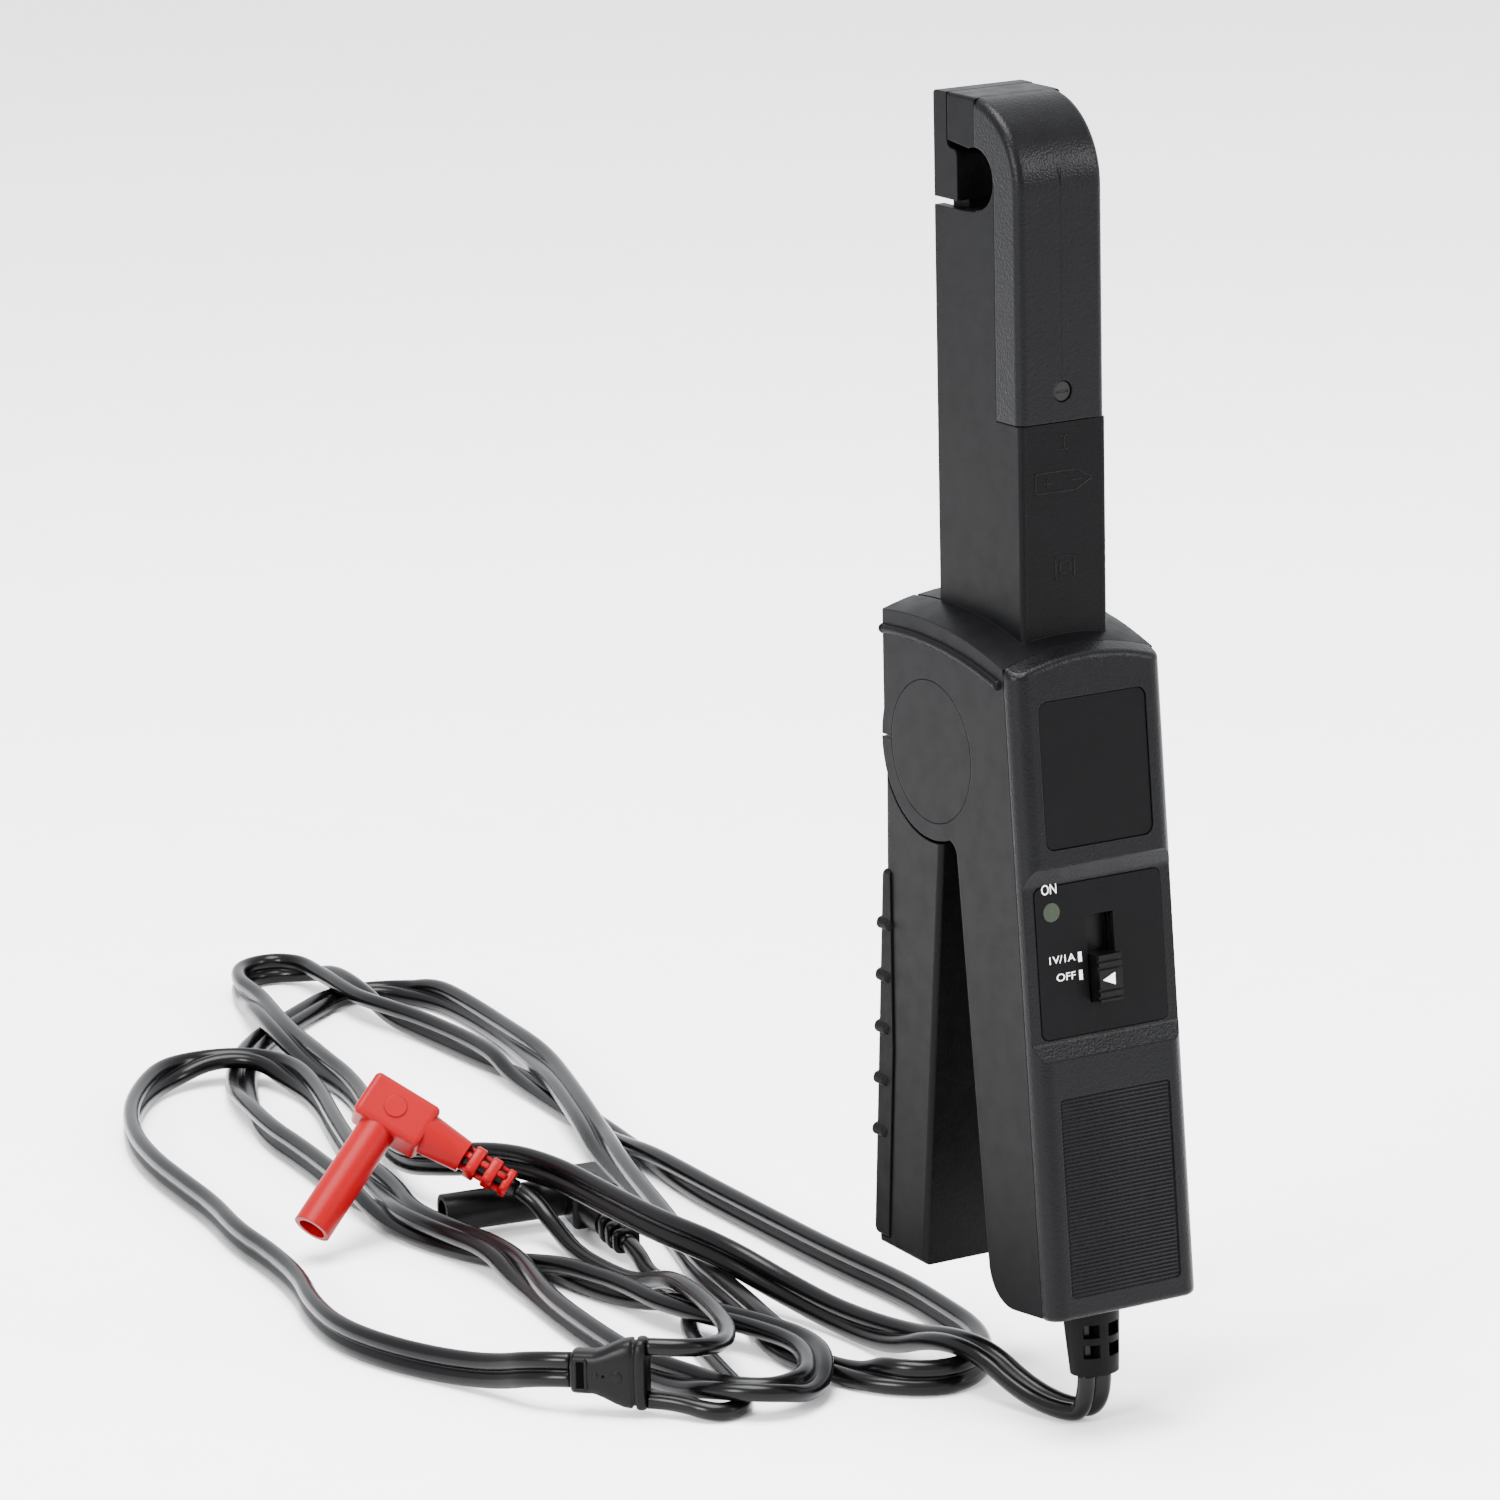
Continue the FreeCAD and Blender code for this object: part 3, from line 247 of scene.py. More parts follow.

# %% [markdown]
# ## Dress the parts
# The record says which finish each CAD part has, so one loop dresses them all. A new piece
# is dressed by a helper, which gives it the finish of a named slot, or another finish, and the body that
# it rides on.

# %% Assign the finishes
for part in frame["record"]["subparts"]:
    node = frame["nodes"][part["node"]]
    if not node.material_slots:
        node.data.materials.append(None)
    for place in node.material_slots:
        place.material = finishes[part["material_slot"]]


def finish_piece(piece, slot, material=None, body="clamp_body"):
    """Gives a piece its slot's finish, or another one, and the body that it rides on."""
    piece.data.materials.append(material or finishes[slot])
    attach(piece, body)
    return piece


# %% [markdown]
# ## The lead's line
# A soft lead lies in long curves under its own weight, and passes over itself in low humps.
# Its line is a NURBS spline: the points below pull the line towards them, and it never kinks.
# The first points leave the boot straight down, the last ones enter the splitter. The fourth
# number says how the flat lead lies there: 0 is on its edge, 1 is flat on its side, as it
# turns itself wherever it crosses another strand.

# %% Routes
EDGE = -0.2374      # middle of the lead's height where it stands on its edge
FLAT = -0.2391      # where it lies flat on the floor
UPPER = -0.2354     # where it lies flat on a strand that is flat itself
PARTLY = -0.2369    # on the way between those
TWIN_ROUTE = [
    # down from the boot and over the strand that doubles back beside the base
    (0.0000, -0.0216, -0.2303, 1), (0.0000, -0.0216, -0.2385, 1), (-0.0034, -0.0154, FLAT, 1),
    (-0.0060, -0.0060, -0.2372, 1), (-0.0086, 0.0040, -0.2318, 1), (-0.0104, 0.0160, -0.2318, 1),
    (-0.0106, 0.0320, -0.2366, 0.5), (-0.0116, 0.0510, EDGE, 0),
    # up over the black plug and down again
    (-0.0144, 0.0690, -0.2350, 0), (-0.0205, 0.0840, -0.2298, 0), (-0.0235, 0.1030, -0.2290, 0),
    (-0.0246, 0.1220, -0.2280, 0), (-0.0258, 0.1410, -0.2266, 0), (-0.0296, 0.1560, -0.2266, 0),
    (-0.0360, 0.1710, -0.2296, 0), (-0.0355, 0.1920, -0.2345, 0), (-0.0235, 0.2240, EDGE, 0),
    (-0.0130, 0.2530, EDGE, 0),
    # the far loop
    (-0.0105, 0.2770, PARTLY, 0.4), (-0.0075, 0.2980, UPPER, 1), (-0.0030, 0.3150, UPPER, 1),
    (0.0015, 0.3300, PARTLY, 0.4), (0.0045, 0.3420, EDGE, 0), (0.0100, 0.3520, EDGE, 0),
    (0.0190, 0.3535, EDGE, 0), (0.0250, 0.3460, PARTLY, 0.4), (0.0245, 0.3340, UPPER, 1),
    (0.0225, 0.3190, UPPER, 1), (0.0220, 0.3040, PARTLY, 0.4), (0.0240, 0.2860, EDGE, 0),
    (0.0240, 0.2620, EDGE, 0), (0.0230, 0.2360, FLAT, 1),
    # the long strand back to the base, and the turn behind it
    (0.0180, 0.1960, FLAT, 1), (0.0114, 0.1520, EDGE, 0), (0.0096, 0.1150, EDGE, 0),
    (0.0084, 0.0840, EDGE, 0), (0.0088, 0.0600, EDGE, 0), (0.0068, 0.0420, EDGE, 0),
    (0.0046, 0.0270, EDGE, 0), (-0.0016, 0.0140, EDGE, 0), (-0.0128, 0.0080, EDGE, 0),
    (-0.0226, 0.0136, EDGE, 0), (-0.0262, 0.0256, FLAT, 1), (-0.0290, 0.0390, FLAT, 1),
    (-0.0280, 0.0530, -0.2384, 0.4), (-0.0235, 0.0690, EDGE, 0), (-0.0204, 0.0840, EDGE, 0),
    (-0.0174, 0.0990, EDGE, 0), (-0.0084, 0.1240, EDGE, 0), (-0.0005, 0.1500, EDGE, 0),
    # across the long strand at a shallow angle
    (0.0065, 0.1750, PARTLY, 0.4), (0.0125, 0.1930, -0.2357, 1), (0.0180, 0.2090, -0.2353, 1),
    (0.0235, 0.2250, -0.2353, 1), (0.0300, 0.2450, -0.2360, 0.6), (0.0365, 0.2720, EDGE, 0),
    # the lower arc, under both strands of the far loop
    (0.0395, 0.2950, EDGE, 0), (0.0400, 0.3110, -0.2380, 0.3), (0.0350, 0.3250, -0.2388, 1),
    (0.0230, 0.3285, FLAT, 1), (0.0070, 0.3170, FLAT, 1), (-0.0080, 0.3060, FLAT, 1),
    (-0.0190, 0.2940, FLAT, 1), (-0.0300, 0.2760, FLAT, 1), (-0.0390, 0.2550, -0.2384, 0.4),
    (-0.0450, 0.2340, EDGE, 0), (-0.0470, 0.2140, EDGE, 0), (-0.0500, 0.1940, EDGE, 0),
    (-0.0520, 0.1740, -0.2386, 0.6), (-0.0520, 0.1550, FLAT, 1), (-0.0480, 0.1370, FLAT, 1),
    (-0.0428, 0.1190, -0.2386, 0.6), (-0.0402, 0.1010, EDGE, 0),
    # past the single leads and over the turn behind the base
    (-0.0382, 0.0860, PARTLY, 0.4), (-0.0368, 0.0740, UPPER, 1), (-0.0344, 0.0640, UPPER, 1),
    (-0.0304, 0.0520, UPPER, 1), (-0.0285, 0.0390, UPPER, 1), (-0.0320, 0.0280, UPPER, 1),
    (-0.0395, 0.0185, PARTLY, 0.4), (-0.0496, 0.0164, UPPER, 1), (-0.0570, 0.0236, UPPER, 1),
    # up on the last strand to pass the black plug's tip, then out round the left loop
    (-0.0588, 0.0360, PARTLY, 0.4), (-0.0600, 0.0520, EDGE, 0), (-0.0580, 0.0740, EDGE, 0),
    (-0.0550, 0.0940, EDGE, 0), (-0.0510, 0.1110, PARTLY, 0.4), (-0.0485, 0.1270, UPPER, 1),
    (-0.0505, 0.1430, UPPER, 1), (-0.0515, 0.1600, UPPER, 1), (-0.0460, 0.1770, -0.2366, 0.5),
    (-0.0405, 0.2000, EDGE, 0), (-0.0310, 0.2290, EDGE, 0), (-0.0230, 0.2510, EDGE, 0),
    (-0.0200, 0.2670, PARTLY, 0.4), (-0.0215, 0.2800, UPPER, 1), (-0.0310, 0.2870, UPPER, 1),
    (-0.0430, 0.2865, PARTLY, 0.4), (-0.0540, 0.2770, EDGE, 0), (-0.0645, 0.2620, EDGE, 0),
    (-0.0725, 0.2440, EDGE, 0), (-0.0770, 0.2260, EDGE, 0), (-0.0794, 0.2080, EDGE, 0),
    (-0.0816, 0.1890, EDGE, 0), (-0.0860, 0.1700, EDGE, 0), (-0.0874, 0.1520, EDGE, 0),
    (-0.0906, 0.1340, EDGE, 0), (-0.0964, 0.1180, EDGE, 0), (-0.0994, 0.1010, EDGE, 0),
    (-0.0970, 0.0850, EDGE, 0), (-0.0916, 0.0710, EDGE, 0), (-0.0872, 0.0586, -0.2360, 0),
    (-0.0847, 0.0468, -0.2325, 0), (-0.0795, 0.0421, -0.2325, 0)]

RED_ROUTE = [
    (-0.0685, 0.0319, -0.2271), (-0.0648, 0.0286, -0.2271), (-0.0600, 0.0270, -0.2276),
    (-0.0540, 0.0290, -0.2286), (-0.0485, 0.0350, -0.2298), (-0.0432, 0.0440, -0.2308),
    (-0.0400, 0.0530, -0.2312), (-0.0380, 0.0610, -0.2312), (-0.0365, 0.0690, -0.2312),
    (-0.0350, 0.0775, -0.2318), (-0.0332, 0.0870, -0.2343), (-0.0322, 0.0970, -0.2380),
    (-0.0316, 0.1100, -0.2392), (-0.0312, 0.1240, -0.2389), (-0.0302, 0.1350, -0.2356),
    (-0.0310, 0.1416, -0.2317), (-0.0335, 0.1440, -0.2297)]

BLACK_ROUTE = [
    (-0.0685, 0.0319, -0.2379), (-0.0648, 0.0286, -0.2379), (-0.0600, 0.0200, -0.2392),
    (-0.0534, 0.0210, -0.2392), (-0.0492, 0.0280, -0.2392), (-0.0468, 0.0380, -0.2392),
    (-0.0436, 0.0500, -0.2392), (-0.0402, 0.0620, -0.2392), (-0.0344, 0.0740, -0.2392),
    (-0.0270, 0.0820, -0.2392), (-0.0256, 0.0920, -0.2392), (-0.0260, 0.1030, -0.2392),
    (-0.0237, 0.1111, -0.2372), (-0.0224, 0.1169, -0.2368)]


def spline_points(name, route, steps=14):
    """The smooth line of a route, as an array of points in metres."""
    curve = bpy.data.curves.new(name, "CURVE")
    curve.dimensions = "3D"
    line = curve.splines.new("NURBS")
    line.points.add(len(route) - 1)
    for point, place in zip(line.points, route):
        point.co = (*place[:3], 1)
    line.order_u = 3
    line.use_endpoint_u = True
    line.resolution_u = steps
    holder = bpy.data.objects.new(name, curve)
    mesh = bpy.data.meshes.new_from_object(holder)
    points = np.empty(len(mesh.vertices) * 3)
    mesh.vertices.foreach_get("co", points)
    bpy.data.objects.remove(holder)
    return points.reshape(-1, 3)


def run_lengths(points):
    """How far along the line each point is."""
    return np.concatenate([[0], np.cumsum(np.linalg.norm(np.diff(points, axis=0), axis=1))])


twin_line = spline_points("twin_line", TWIN_ROUTE)
twin_run = run_lengths(twin_line)
# the fourth numbers are smoothed by the same spline, as if they were places along X
flatness = spline_points("twin_flatness", [(point[3], 0, 0) for point in TWIN_ROUTE])[:, :1]
print("twin line", len(twin_line), "points", round(twin_run[-1], 4), "m")

# %% [markdown]
# ## The twin lead
# Two insulated cores are moulded side by side, which gives the figure-8 section with its
# groove. The outline is two touching circles in polar form, 2a|cos t|, joined with a web: the
# fourth root of their summed fourth powers. The section is carried along the line. Its wide
# side is a blend: upright where the lead stands on its edge, level and square to the line where
# it lies flat. It leaves the boot pointing down, where no side is level, so there its wide side
# is along X. Part way over, its middle rests at one core's radius times 1 + cos(tilt) above the
# model's lowest level, so any point that would sink is lifted to that height.

# %% Twin lead
CORE_R = 0.0018
WEB = 0.00075           # half the thickness of the web between the cores
BOOT_STRETCH = 0.010    # the wide side turns away from X over this length


def figure_eight(count):
    """Outline points (w, n) at radius ((2a|cos t|)^4 + web^4)^(1/4), a the core's radius."""
    t = np.linspace(0, 2 * np.pi, count, endpoint=False)
    r = ((2 * CORE_R * np.abs(np.cos(t))) ** 4 + WEB ** 4) ** 0.25
    return r * np.cos(t), r * np.sin(t)


def sweep(points, wide, outline):
    """Rows of section points: each row stands square to the line, its width along `wide`."""
    ahead = np.gradient(points, axis=0)
    ahead /= np.linalg.norm(ahead, axis=1, keepdims=True)
    wide = wide - (wide * ahead).sum(1, keepdims=True) * ahead
    wide /= np.linalg.norm(wide, axis=1, keepdims=True)
    thick = np.cross(ahead, wide)
    w, n = outline
    return points[:, None] + w[None, :, None] * wide[:, None] + n[None, :, None] * thick[:, None]


def level_side(points):
    """The level direction square to the line: its travel crossed with the vertical."""
    side = np.cross(np.gradient(points, axis=0), [0, 0, 1.0])
    return side / np.maximum(np.linalg.norm(side, axis=1, keepdims=True), 1e-9)


tilt = np.arctan2(flatness[:, 0], 1 - flatness[:, 0])
resting = cad_low[2] + CORE_R * (1 + np.abs(np.cos(tilt)))
print("lifted by at most", round(float((resting - twin_line[:, 2]).max() / MM), 2), "mm")
twin_line[:, 2] = np.maximum(twin_line[:, 2], resting)
wide_side = (1 - flatness) * np.array([[0, 0, 1.0]]) + flatness * level_side(twin_line)
away = np.clip(twin_run / BOOT_STRETCH - 0.5, 0, 1)[:, None]
wide_side = (1 - away) * np.array([[1.0, 0, 0]]) + away * wide_side
twin_surface = closed_grid(sweep(twin_line, wide_side, figure_eight(40)))
twin = finish_piece(make_piece("twin_lead_jacket", [twin_surface]), "lead_jacket")
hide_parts("twin_lead")

# %% [markdown]
# ## The single leads
# Behind the splitter each core goes its own way to its plug: the red plug's lead over the
# others, the black plug's lead under them. They are round, so a circle is swept.

# %% Single leads
ALMOST_UP = [[0.0001, 0.0002, 1.0]]    # never quite along a line that points straight up


def circle(radius, count=20):
    """Outline points of a circle."""
    t = np.linspace(0, 2 * np.pi, count, endpoint=False)
    return radius * np.cos(t), radius * np.sin(t)


def single_lead(name, route):
    """A round lead along a route, and its line."""
    line = spline_points(name + "_line", route)
    side = np.tile(ALMOST_UP, (len(line), 1))
    piece = make_piece(name, [closed_grid(sweep(line, side, circle(CORE_R)))])
    return finish_piece(piece, "lead_jacket"), line


red_single, red_line = single_lead("red_lead_jacket", RED_ROUTE)
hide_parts("red_lead")
black_single, black_line = single_lead("black_lead_jacket", BLACK_ROUTE)
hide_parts("black_lead")
print("singles", round(run_lengths(red_line)[-1], 4), round(run_lengths(black_line)[-1], 4))

# %% [markdown]
# ## Cores inside the boot and the reliefs
# The strain reliefs are ladders of rings on thin bars, and the lead shows through their
# windows. Short straight lengths continue the leads through them.

# %% Lead ends inside the reliefs
def straight(start, end, wide, outline):
    """A straight sweep between two points."""
    start, end = np.array(start), np.array(end)
    line = start + (end - start) * np.linspace(0, 1, 6)[:, None]
    return closed_grid(sweep(line, np.tile([wide], (len(line), 1)), outline))


def unit(vector):
    """A vector's direction."""
    vector = np.asarray(vector, float)
    return vector / np.linalg.norm(vector)


RED_ELBOW, RED_LEAD_WAY = (-0.053, 0.163, -0.214), unit((19.6, -19.1, -15.8))
RED_PIN_WAY = unit((-24.2, -7.3, -21.1))
BLACK_ELBOW, BLACK_LEAD_WAY = (-0.0155, 0.1475, -0.2346), unit((-0.22, -0.975, -0.07))
BLACK_PIN_WAY = unit((-0.975, 0.22, -0.03))
RELIEF_FROM, RELIEF_TO = 0.0165, 0.0312    # the lead's visible stretch, from the elbow
END_R = CORE_R * 0.98                      # a little thinner, to stay inside the lead's own end
BOOT_FOOT, BOOT_TOP = (0, -0.0216, -0.2302), (0, -0.0205, -0.2165)
for colour, elbow, way in (("red", RED_ELBOW, RED_LEAD_WAY), ("black", BLACK_ELBOW, BLACK_LEAD_WAY)):
    inner = straight(elbow + way * RELIEF_FROM, elbow + way * RELIEF_TO, (0.1, 0.2, 1.0), circle(END_R))
    finish_piece(make_piece(colour + "_lead_end", [inner]), "lead_jacket")
cores = straight(BOOT_FOOT, BOOT_TOP, (1.0, 0, 0), figure_eight(36))
finish_piece(make_piece("boot_cores", [cores]), "lead_jacket")

# %% [markdown]
# ## Strain reliefs on the plugs
# A relief has to bend, so it is little more than rings joined by thin bars. Each ring is a
# rounded rectangle, |x/a|^4 + |y/b|^4 = 1, with a wall: its rows go out, along, in and back,
# and join up again, so the band is closed both ways.

# %% Relief rings
RING_WALL = 0.0011
RING_SQUASH = 0.92       # a ring is a little lower than it is wide
RINGS = ((0.0199, 0.0033, 0.0024), (0.0240, 0.0031, 0.0024),
         (0.0281, 0.0028, 0.0018))    # distance from the elbow, half width, length
BAR_HALF = 0.0006
BAR_FROM, BAR_TO = 0.0183, 0.0285
BAR_ASIDE, BAR_ABOVE = 0.0022, 0.0021


def rounded_outline(half_a, half_b, count=40, power=4.0):
    """Points (a, b) of a rounded rectangle: cos and sin to the power 2/n, with their signs."""
    t = np.linspace(0, 2 * np.pi, count, endpoint=False)
    c, s = np.cos(t), np.sin(t)
    a = half_a * np.sign(c) * np.abs(c) ** (2 / power)
    return a, half_b * np.sign(s) * np.abs(s) ** (2 / power)


def band(centre, way, side, half_a, half_b, length):
    """A ring round `way`: eight rows of points that join into a closed band."""
    over = np.cross(way, side)
    soft = 0.25 * RING_WALL
    rows = []
    for inset, along in ((soft, 0), (0, soft), (0, length - soft), (soft, length),
                         (RING_WALL - soft, length), (RING_WALL, length - soft), (RING_WALL, soft),
                         (RING_WALL - soft, 0)):
        a, b = rounded_outline(half_a - inset, half_b - inset)
        rows.append(np.asarray(centre) + way * along + a[:, None] * side + b[:, None] * over)
    points = np.array(rows)
    n, m = points.shape[:2]
    i, j = np.meshgrid(np.arange(n), np.arange(m), indexing="ij")
    below, beside = (i + 1) % n, (j + 1) % m
    quads = np.stack([i * m + j, below * m + j, below * m + beside, i * m + beside], -1)
    return points.reshape(-1, 3), quads.reshape(-1, 4).tolist()


def relief(name, elbow, way, pin_way, slot):
    """Three rings that shrink towards the lead, on four thin bars."""
    side = unit(pin_way - (pin_way @ way) * way)
    over = np.cross(way, side)
    parts = []
    for start, half, length in RINGS:
        parts.append(band(elbow + way * start, way, side, half, half * RING_SQUASH, length))
    for offset in (side * BAR_ASIDE, -side * BAR_ASIDE, over * BAR_ABOVE, -over * BAR_ABOVE):
        near, far = elbow + way * BAR_FROM + offset, elbow + way * BAR_TO + offset
        parts.append(straight(near, far, tuple(side), rounded_outline(BAR_HALF, BAR_HALF, 12)))
    piece = finish_piece(make_piece(name, parts), slot)
    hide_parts(name.replace("_rings", ""))
    return piece


red_rings = relief("red_relief_rings", RED_ELBOW, RED_LEAD_WAY, RED_PIN_WAY, "plug_red")
black_rings = relief("black_relief_rings", BLACK_ELBOW, BLACK_LEAD_WAY, BLACK_PIN_WAY, "plug_black")

# %% [markdown]
# ## The splitter
# The splitter is one soft moulding: rounded-rectangle sections carried from the collar to the
# flared end, where a groove sets off a flange. Each row below is a place along it, its half
# height and its half depth in millimetres. The collar has a slot with a raised rim, and the
# mould's ejector pins have left round marks.

# %% Splitter
SPLITTER_AT = np.array([-0.0740, 0.0370, -0.2325])
SPLITTER_WAY = unit((5.5, -5.1, 0))
SPLITTER_NEAR = unit((-5.1, -5.5, 0))
SPLITTER_ROWS = [(-7.5, 3.5, 2.4), (-7.35, 3.95, 2.8), (-7.0, 4.2, 3.05), (-6.4, 4.3, 3.15),
                 (-3.2, 4.3, 3.15), (-2.4, 4.45, 3.25), (-0.8, 5.1, 3.35), (1.2, 6.1, 3.4),
                 (3.0, 6.8, 3.4), (4.3, 7.0, 3.4), (4.6, 6.95, 3.35), (4.8, 6.5, 2.95),
                 (5.4, 6.5, 2.95), (5.6, 7.1, 3.35), (6.1, 7.3, 3.4), (6.9, 7.3, 3.4),
                 (7.3, 7.1, 3.2), (7.5, 6.7, 2.9)]


def on_splitter(local):
    """Points (along, height, out) in millimetres on the splitter's near side, in metres."""
    local = np.asarray(local, float) * MM
    up = np.array([0.0, 0, 1.0])
    along, height, out = local[..., :1], local[..., 1:2], local[..., 2:3]
    return SPLITTER_AT + along * SPLITTER_WAY + height * up + out * SPLITTER_NEAR


sections = []
for along, tall, deep in SPLITTER_ROWS:
    a, b = rounded_outline(tall, deep, 56, 3.4)
    sections.append(np.stack([np.full(len(a), along), a, b], -1))
splitter_surface = closed_grid(on_splitter(np.array(sections)))
splitter_body = finish_piece(make_piece("splitter_body", [splitter_surface]), "splitter_plastic")
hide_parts("splitter")

# %% [markdown]
# ## Slot and pin marks on the splitter
# The slot's hollow is a flat block just proud of the collar, given a near-black finish as painted shade,
# and four thin bars make its rim. A pin mark is a low disc with a softened edge; a small
# near-black disc beside them is painted shade too. Places are in millimetres on the near side.

# %% Splitter marks
SLOT_ALONG, SLOT_TALL = (-6.3, -4.2), (-3.0, 3.0)      # middle lines of the rim
HOLE_ALONG, HOLE_TALL = (-5.95, -4.55), (-2.7, 2.7)    # edges of the dark block
RIM_OUT = 3.12
RIM_HALVES = (0.00022, 0.0003)    # metres: half the rim's width and height


def button(along, height, radius, low, high):
    """A low round mark: a disc with a soft edge, from out=low to out=high."""
    t = np.linspace(0, 2 * np.pi, 28, endpoint=False)
    rings = [np.stack([along + r * np.cos(t), height + r * np.sin(t), np.full(len(t), out)], -1)
             for r, out in ((radius, low), (radius, high - 0.05), (radius * 0.9, high))]
    return closed_grid(on_splitter(np.array(rings)))


def corners_of(along, tall):
    """The four corners of a rectangle, in order round it."""
    return [(along[0], tall[0]), (along[1], tall[0]), (along[1], tall[1]), (along[0], tall[1])]


pin_marks = [button(-2.3, 0.1, 0.6, 3.1, 3.4), button(1.9, -0.1, 1.2, 3.3, 3.53)]
corners = corners_of(SLOT_ALONG, SLOT_TALL)
rim = [straight(on_splitter([*near, RIM_OUT]), on_splitter([*far, RIM_OUT]), tuple(SPLITTER_NEAR),
                rounded_outline(*RIM_HALVES, 12))
       for near, far in zip(corners, corners[1:] + corners[:1])]
splitter_marks = finish_piece(make_piece("splitter_marks", pin_marks + rim), "splitter_plastic")
# Painted shade: the block in the slot and a small disc take the near-black finish in place of the shade
# in the hollow.
hole = corners_of(HOLE_ALONG, HOLE_TALL)
hole_rows = np.array([np.column_stack([hole, np.full(4, out)]) for out in (3.0, 3.17)])
dark = [button(-0.7, 0.0, 0.32, 3.2, 3.385), closed_grid(on_splitter(hole_rows))]
splitter_slot_shade = finish_piece(make_piece("splitter_slot_shade", dark, smooth=False), "splitter_plastic",
                             hole_shade_black)

# %% [markdown]
# ## The leads are soft
# A program that moves the clamp has to know that the leads are soft. Nothing here declares them as cords.

print("cords not declared")

# %% [markdown]
# ## Marks on the front
# The panel's words are pad printed: a few hundredths of a millimetre of white paint. Each is
# made as text, turned into a mesh, fitted into its box and laid on the leaning face. A point
# on that face is x to the right, `down` along the face from its top line, and `out` from it.

# %% The leaning face
FACE_TOP = np.array([0.0, -0.0223, -0.090])
LEAN = math.radians(5.05)
FACE_RIGHT = np.array([1.0, 0, 0])
FACE_DOWN = np.array([0.0, -math.sin(LEAN), -math.cos(LEAN)])
FACE_OUT = np.array([0.0, -math.cos(LEAN), math.sin(LEAN)])
PANEL_OUT = -1.95      # millimetres: the panel lies this far behind the face
PRINT_DEPTH = 0.03     # and its paint is this thick
STEM_FRONT = -0.0142


def on_face(local):
    """Points (x, down, out) in millimetres on the leaning face, as places in metres."""
    local = np.asarray(local, float) * MM
    right, down, out = local[..., :1], local[..., 1:2], local[..., 2:3]
    return FACE_TOP + right * FACE_RIGHT + down * FACE_DOWN + out * FACE_OUT


def on_stem(local):
    """Points (x, z, out) in millimetres on the stem's front face, as places in metres."""
    local = np.asarray(local, float) * MM
    return np.stack([local[..., 0], STEM_FRONT - local[..., 2], local[..., 1]], -1)


print("face top", FACE_TOP, "leans", round(math.degrees(LEAN), 2), "degrees")

# %% [markdown]
# ## Printed words
# A letter's outline is a curve, so text is the natural way to make it. The three words are
# scaled to the sizes that they have on the panel, and the marks beside them are flat prisms.

# %% Words, ticks and the slider's arrow
def printed_word(word, left, right, middle, height, out):
    """A word fitted into a box on the face: each point's share of the word's own box, from 0
    to 1, becomes the same share of the new box."""
    text = bpy.data.curves.new(word, "FONT")
    text.body = word
    text.extrude = 0.5
    text.resolution_u = 4
    holder = bpy.data.objects.new(word, text)
    mesh = bpy.data.meshes.new_from_object(holder)
    points = np.empty(len(mesh.vertices) * 3)
    mesh.vertices.foreach_get("co", points)
    points = points.reshape(-1, 3)
    low, high = points.min(0), points.max(0)
    share = (points - low) / (high - low)
    x = left + share[:, 0] * (right - left)
    down = middle + height / 2 - share[:, 1] * height
    local = np.stack([x, down, out + share[:, 2] * PRINT_DEPTH], -1)
    faces = [list(p.vertices) for p in mesh.polygons]
    bpy.data.objects.remove(holder)
    return on_face(local), faces


def plate(corners, low, high, place):
    """A flat prism over corners (a, b) listed round the outline, from out=low to out=high."""
    corners = np.asarray(corners, float)
    n = len(corners)
    rows = [np.column_stack([corners, np.full(n, level)]) for level in (low, high)]
    sides = [[i, (i + 1) % n, n + (i + 1) % n, n + i] for i in range(n)]
    return place(np.concatenate(rows)), sides + [list(range(n))[::-1], list(range(n, 2 * n))]


marks = [printed_word("ON", -12.7, -9.3, 42.2, 1.95, PANEL_OUT),
         printed_word("1V/1A", -11.8, -6.0, 55.9, 1.45, PANEL_OUT),
         printed_word("OFF", -10.4, -6.1, 59.4, 1.45, PANEL_OUT)]
for down in (56.1, 59.6):
    tick = corners_of((-5.3, -4.5), (down - 0.95, down + 0.95))
    marks.append(plate(tick, PANEL_OUT, PANEL_OUT + PRINT_DEPTH, on_face))
panel_marks = make_piece("panel_marks", marks, smooth=False)
finish_piece(panel_marks, "panel_plastic", white_print)
arrow = plate([(-1.9, 60.75), (0.9, 59.55), (0.9, 61.95)], 0.98, 1.03, on_face)
knob_arrow = make_piece("slider_arrow", [arrow], smooth=False)
finish_piece(knob_arrow, "switch_plastic", white_print, "switch_slider")

# %% [markdown]
# ## Raised marks on the stem
# The mould has shallow engravings, which stand on the moulding as thin raised lines: a
# current sign, an arrow with its plus and minus, and the double square of double insulation.
# Each stroke is a low bar with chamfered sides.

# %% Raised strokes
STROKE = 0.26    # millimetres, the width of a raised line at its foot
RAISED = 0.11


def stroke(a, b, place, width=STROKE, height=RAISED):
    """A low bar from a to b: wide at its foot and narrower by a third at its top."""
    a, b = np.asarray(a, float), np.asarray(b, float)
    along = (b - a) / np.linalg.norm(b - a)
    side = np.array([-along[1], along[0]])
    rings = []
    for grow, out in ((0.5, -0.05), (0.5, 0.0), (0.33, height)):
        s = side * width * grow
        e = along * width * grow
        rings.append([(*corner, out) for corner in (a - e - s, b + e - s, b + e + s, a - e + s)])
    return closed_grid(place(np.array(rings)))


def strokes(corners, place, closed=False, **sizes):
    """Bars through a list of points."""
    path = corners + corners[:1] if closed else corners
    return [stroke(a, b, place, **sizes) for a, b in zip(path, path[1:])]


def crossbar(x, z, half):
    """One level stroke, half its length on each side of x."""
    return strokes([(x - half, z), (x + half, z)], on_stem)


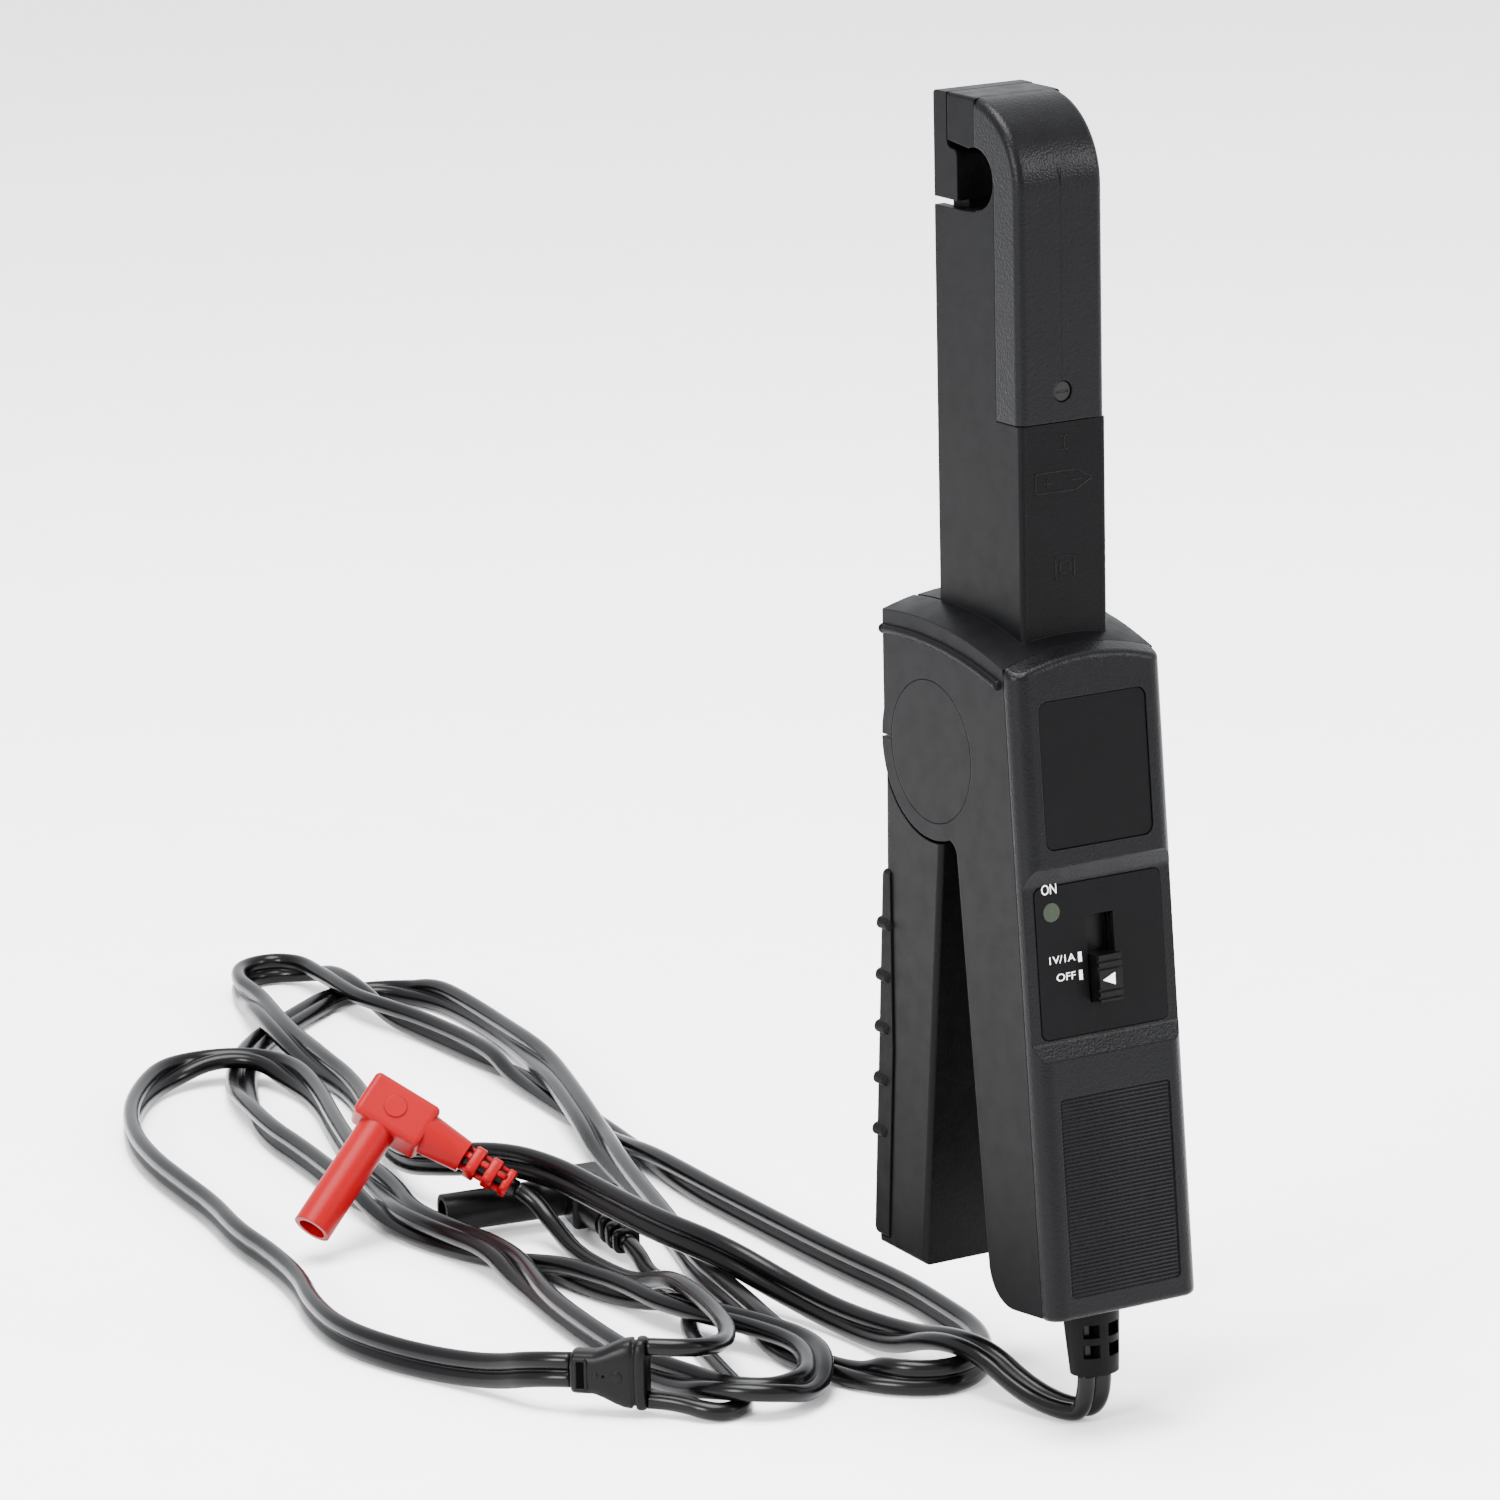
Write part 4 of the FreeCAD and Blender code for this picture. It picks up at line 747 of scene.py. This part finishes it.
current_sign = strokes([(0.1, -47.8), (0.1, -50.4)], on_stem)
current_sign += crossbar(0.1, -47.8, 0.7) + crossbar(0.1, -50.4, 0.7)
arrow_sign = strokes([(-6.4, -54.6), (2.6, -54.5), (6.5, -56.5), (2.6, -58.5), (-6.4, -58.4)],
                     on_stem, closed=True)
plus = crossbar(-3.7, -56.6, 0.9) + strokes([(-3.7, -55.7), (-3.7, -57.5)], on_stem)
minus = crossbar(2.7, -56.5, 1.1)
squares = []
for half in (2.1, 1.1):
    square = corners_of((-half, half), (-73.1 + half, -73.1 - half))
    squares += strokes(square, on_stem, closed=True)
stem_marks = make_piece("stem_marks", current_sign + arrow_sign + plus + minus + squares, smooth=False)
finish_piece(stem_marks, "textured_plastic")

# %% [markdown]
# ## Mould lines
# Where the two halves of the mould met, a fine line is left up the middle of the nose. The
# stem's front has another along each edge. They are the same low bars, only finer.

# %% Mould lines
seam = strokes([(0.0, 3.0), (0.0, -37.5)], on_stem, width=0.16, height=0.035)
finish_piece(make_piece("mould_line", seam, smooth=False), "textured_plastic")
edge_lines = []
for x in (-8.55, 8.55):
    edge_lines += strokes([(x, -46.5), (x, -84.0)], on_stem, width=0.12, height=0.03)
finish_piece(make_piece("stem_edge_lines", edge_lines, smooth=False), "textured_plastic")

# %% [markdown]
# ## The grip field
# The lower front has fifty fine ribs across it, so that a thumb doesn't slip. Each rib is a
# long bar with an oval section that is drawn in at both ends.

# %% Grip ribs
RIB_COUNT = 50
RIB_FIRST, RIB_LAST = 82.9, 120.6    # millimetres down the face
RIB_HALF = 12.2
RIB_WIDE, RIB_TALL, RIB_SINK = 0.27, 0.31, -0.33
RIB_ENDS = ((0.0, 0.15), (0.06, 0.7), (0.25, 1.0))    # distance from an end, share of full size


def capsule(down):
    """One rib: an ellipse of half axes 0.27 mm and 0.31 mm, smaller within 0.25 mm of each end."""
    inset, share = np.array(RIB_ENDS).T
    x = np.concatenate([-RIB_HALF + inset, (RIB_HALF - inset)[::-1]])
    size = np.concatenate([share, share[::-1]])[:, None]
    t = np.linspace(0, 2 * np.pi, 10, endpoint=False)[None]
    local = np.stack([np.repeat(x[:, None], 10, 1), down + RIB_WIDE * size * np.cos(t),
                      RIB_SINK + RIB_TALL * size * np.sin(t)], -1)
    return closed_grid(on_face(local))


ribs = [capsule(down) for down in np.linspace(RIB_FIRST, RIB_LAST, RIB_COUNT)]
finish_piece(make_piece("grip_ribs", ribs), "textured_plastic")

# %% [markdown]
# ## Floor and light
# The clamp stands over a plain pale floor. Three large soft lights wrap round it: one above,
# which draws the long highlights on the lead, one at the left and one at the right. A pale
# world fills the shadows.

# %% Floor
FLOOR_Z = -0.2412
FLOOR_HALF = 6.0
floor_mesh = bpy.data.meshes.new("floor")
floor_corners = corners_of((-FLOOR_HALF, FLOOR_HALF), (-FLOOR_HALF, FLOOR_HALF))
floor_mesh.from_pydata([(x, y, FLOOR_Z) for x, y in floor_corners], [], [(0, 1, 2, 3)])
floor = bpy.data.objects.new("floor", floor_mesh)
bpy.context.scene.collection.objects.link(floor)
floor_mesh.materials.append(plastic("floor_paper", (0.93, 0.93, 0.93), 0.8, strength=0.05, vary=0.01,
                                    specular=0.1))
print("floor at", FLOOR_Z)

# %% Lights
def soft_light(name, place, target, width, power):
    """A square area light at place that faces target."""
    data = bpy.data.lights.new(name, "AREA")
    data.shape = "SQUARE"
    data.size = width
    data.energy = power
    lamp = bpy.data.objects.new(name, data)
    lamp.location = place
    lamp.rotation_euler = (Vector(target) - Vector(place)).to_track_quat("-Z", "Y").to_euler()
    bpy.context.scene.collection.objects.link(lamp)


soft_light("above", (-0.2, 0.0, 1.3), (0, 0.05, -0.1), 1.0, 95)
soft_light("left", (-1.5, -0.5, 0.5), (0, 0, -0.1), 0.5, 48)
soft_light("right", (1.1, -1.2, 0.6), (0, 0, -0.1), 0.5, 26)
world = bpy.data.worlds.new("pale_room")
world.use_nodes = True
world.node_tree.nodes["Background"].inputs["Color"].default_value = (0.95, 0.96, 1.0, 1)
world.node_tree.nodes["Background"].inputs["Strength"].default_value = 2.4
bpy.context.scene.world = world
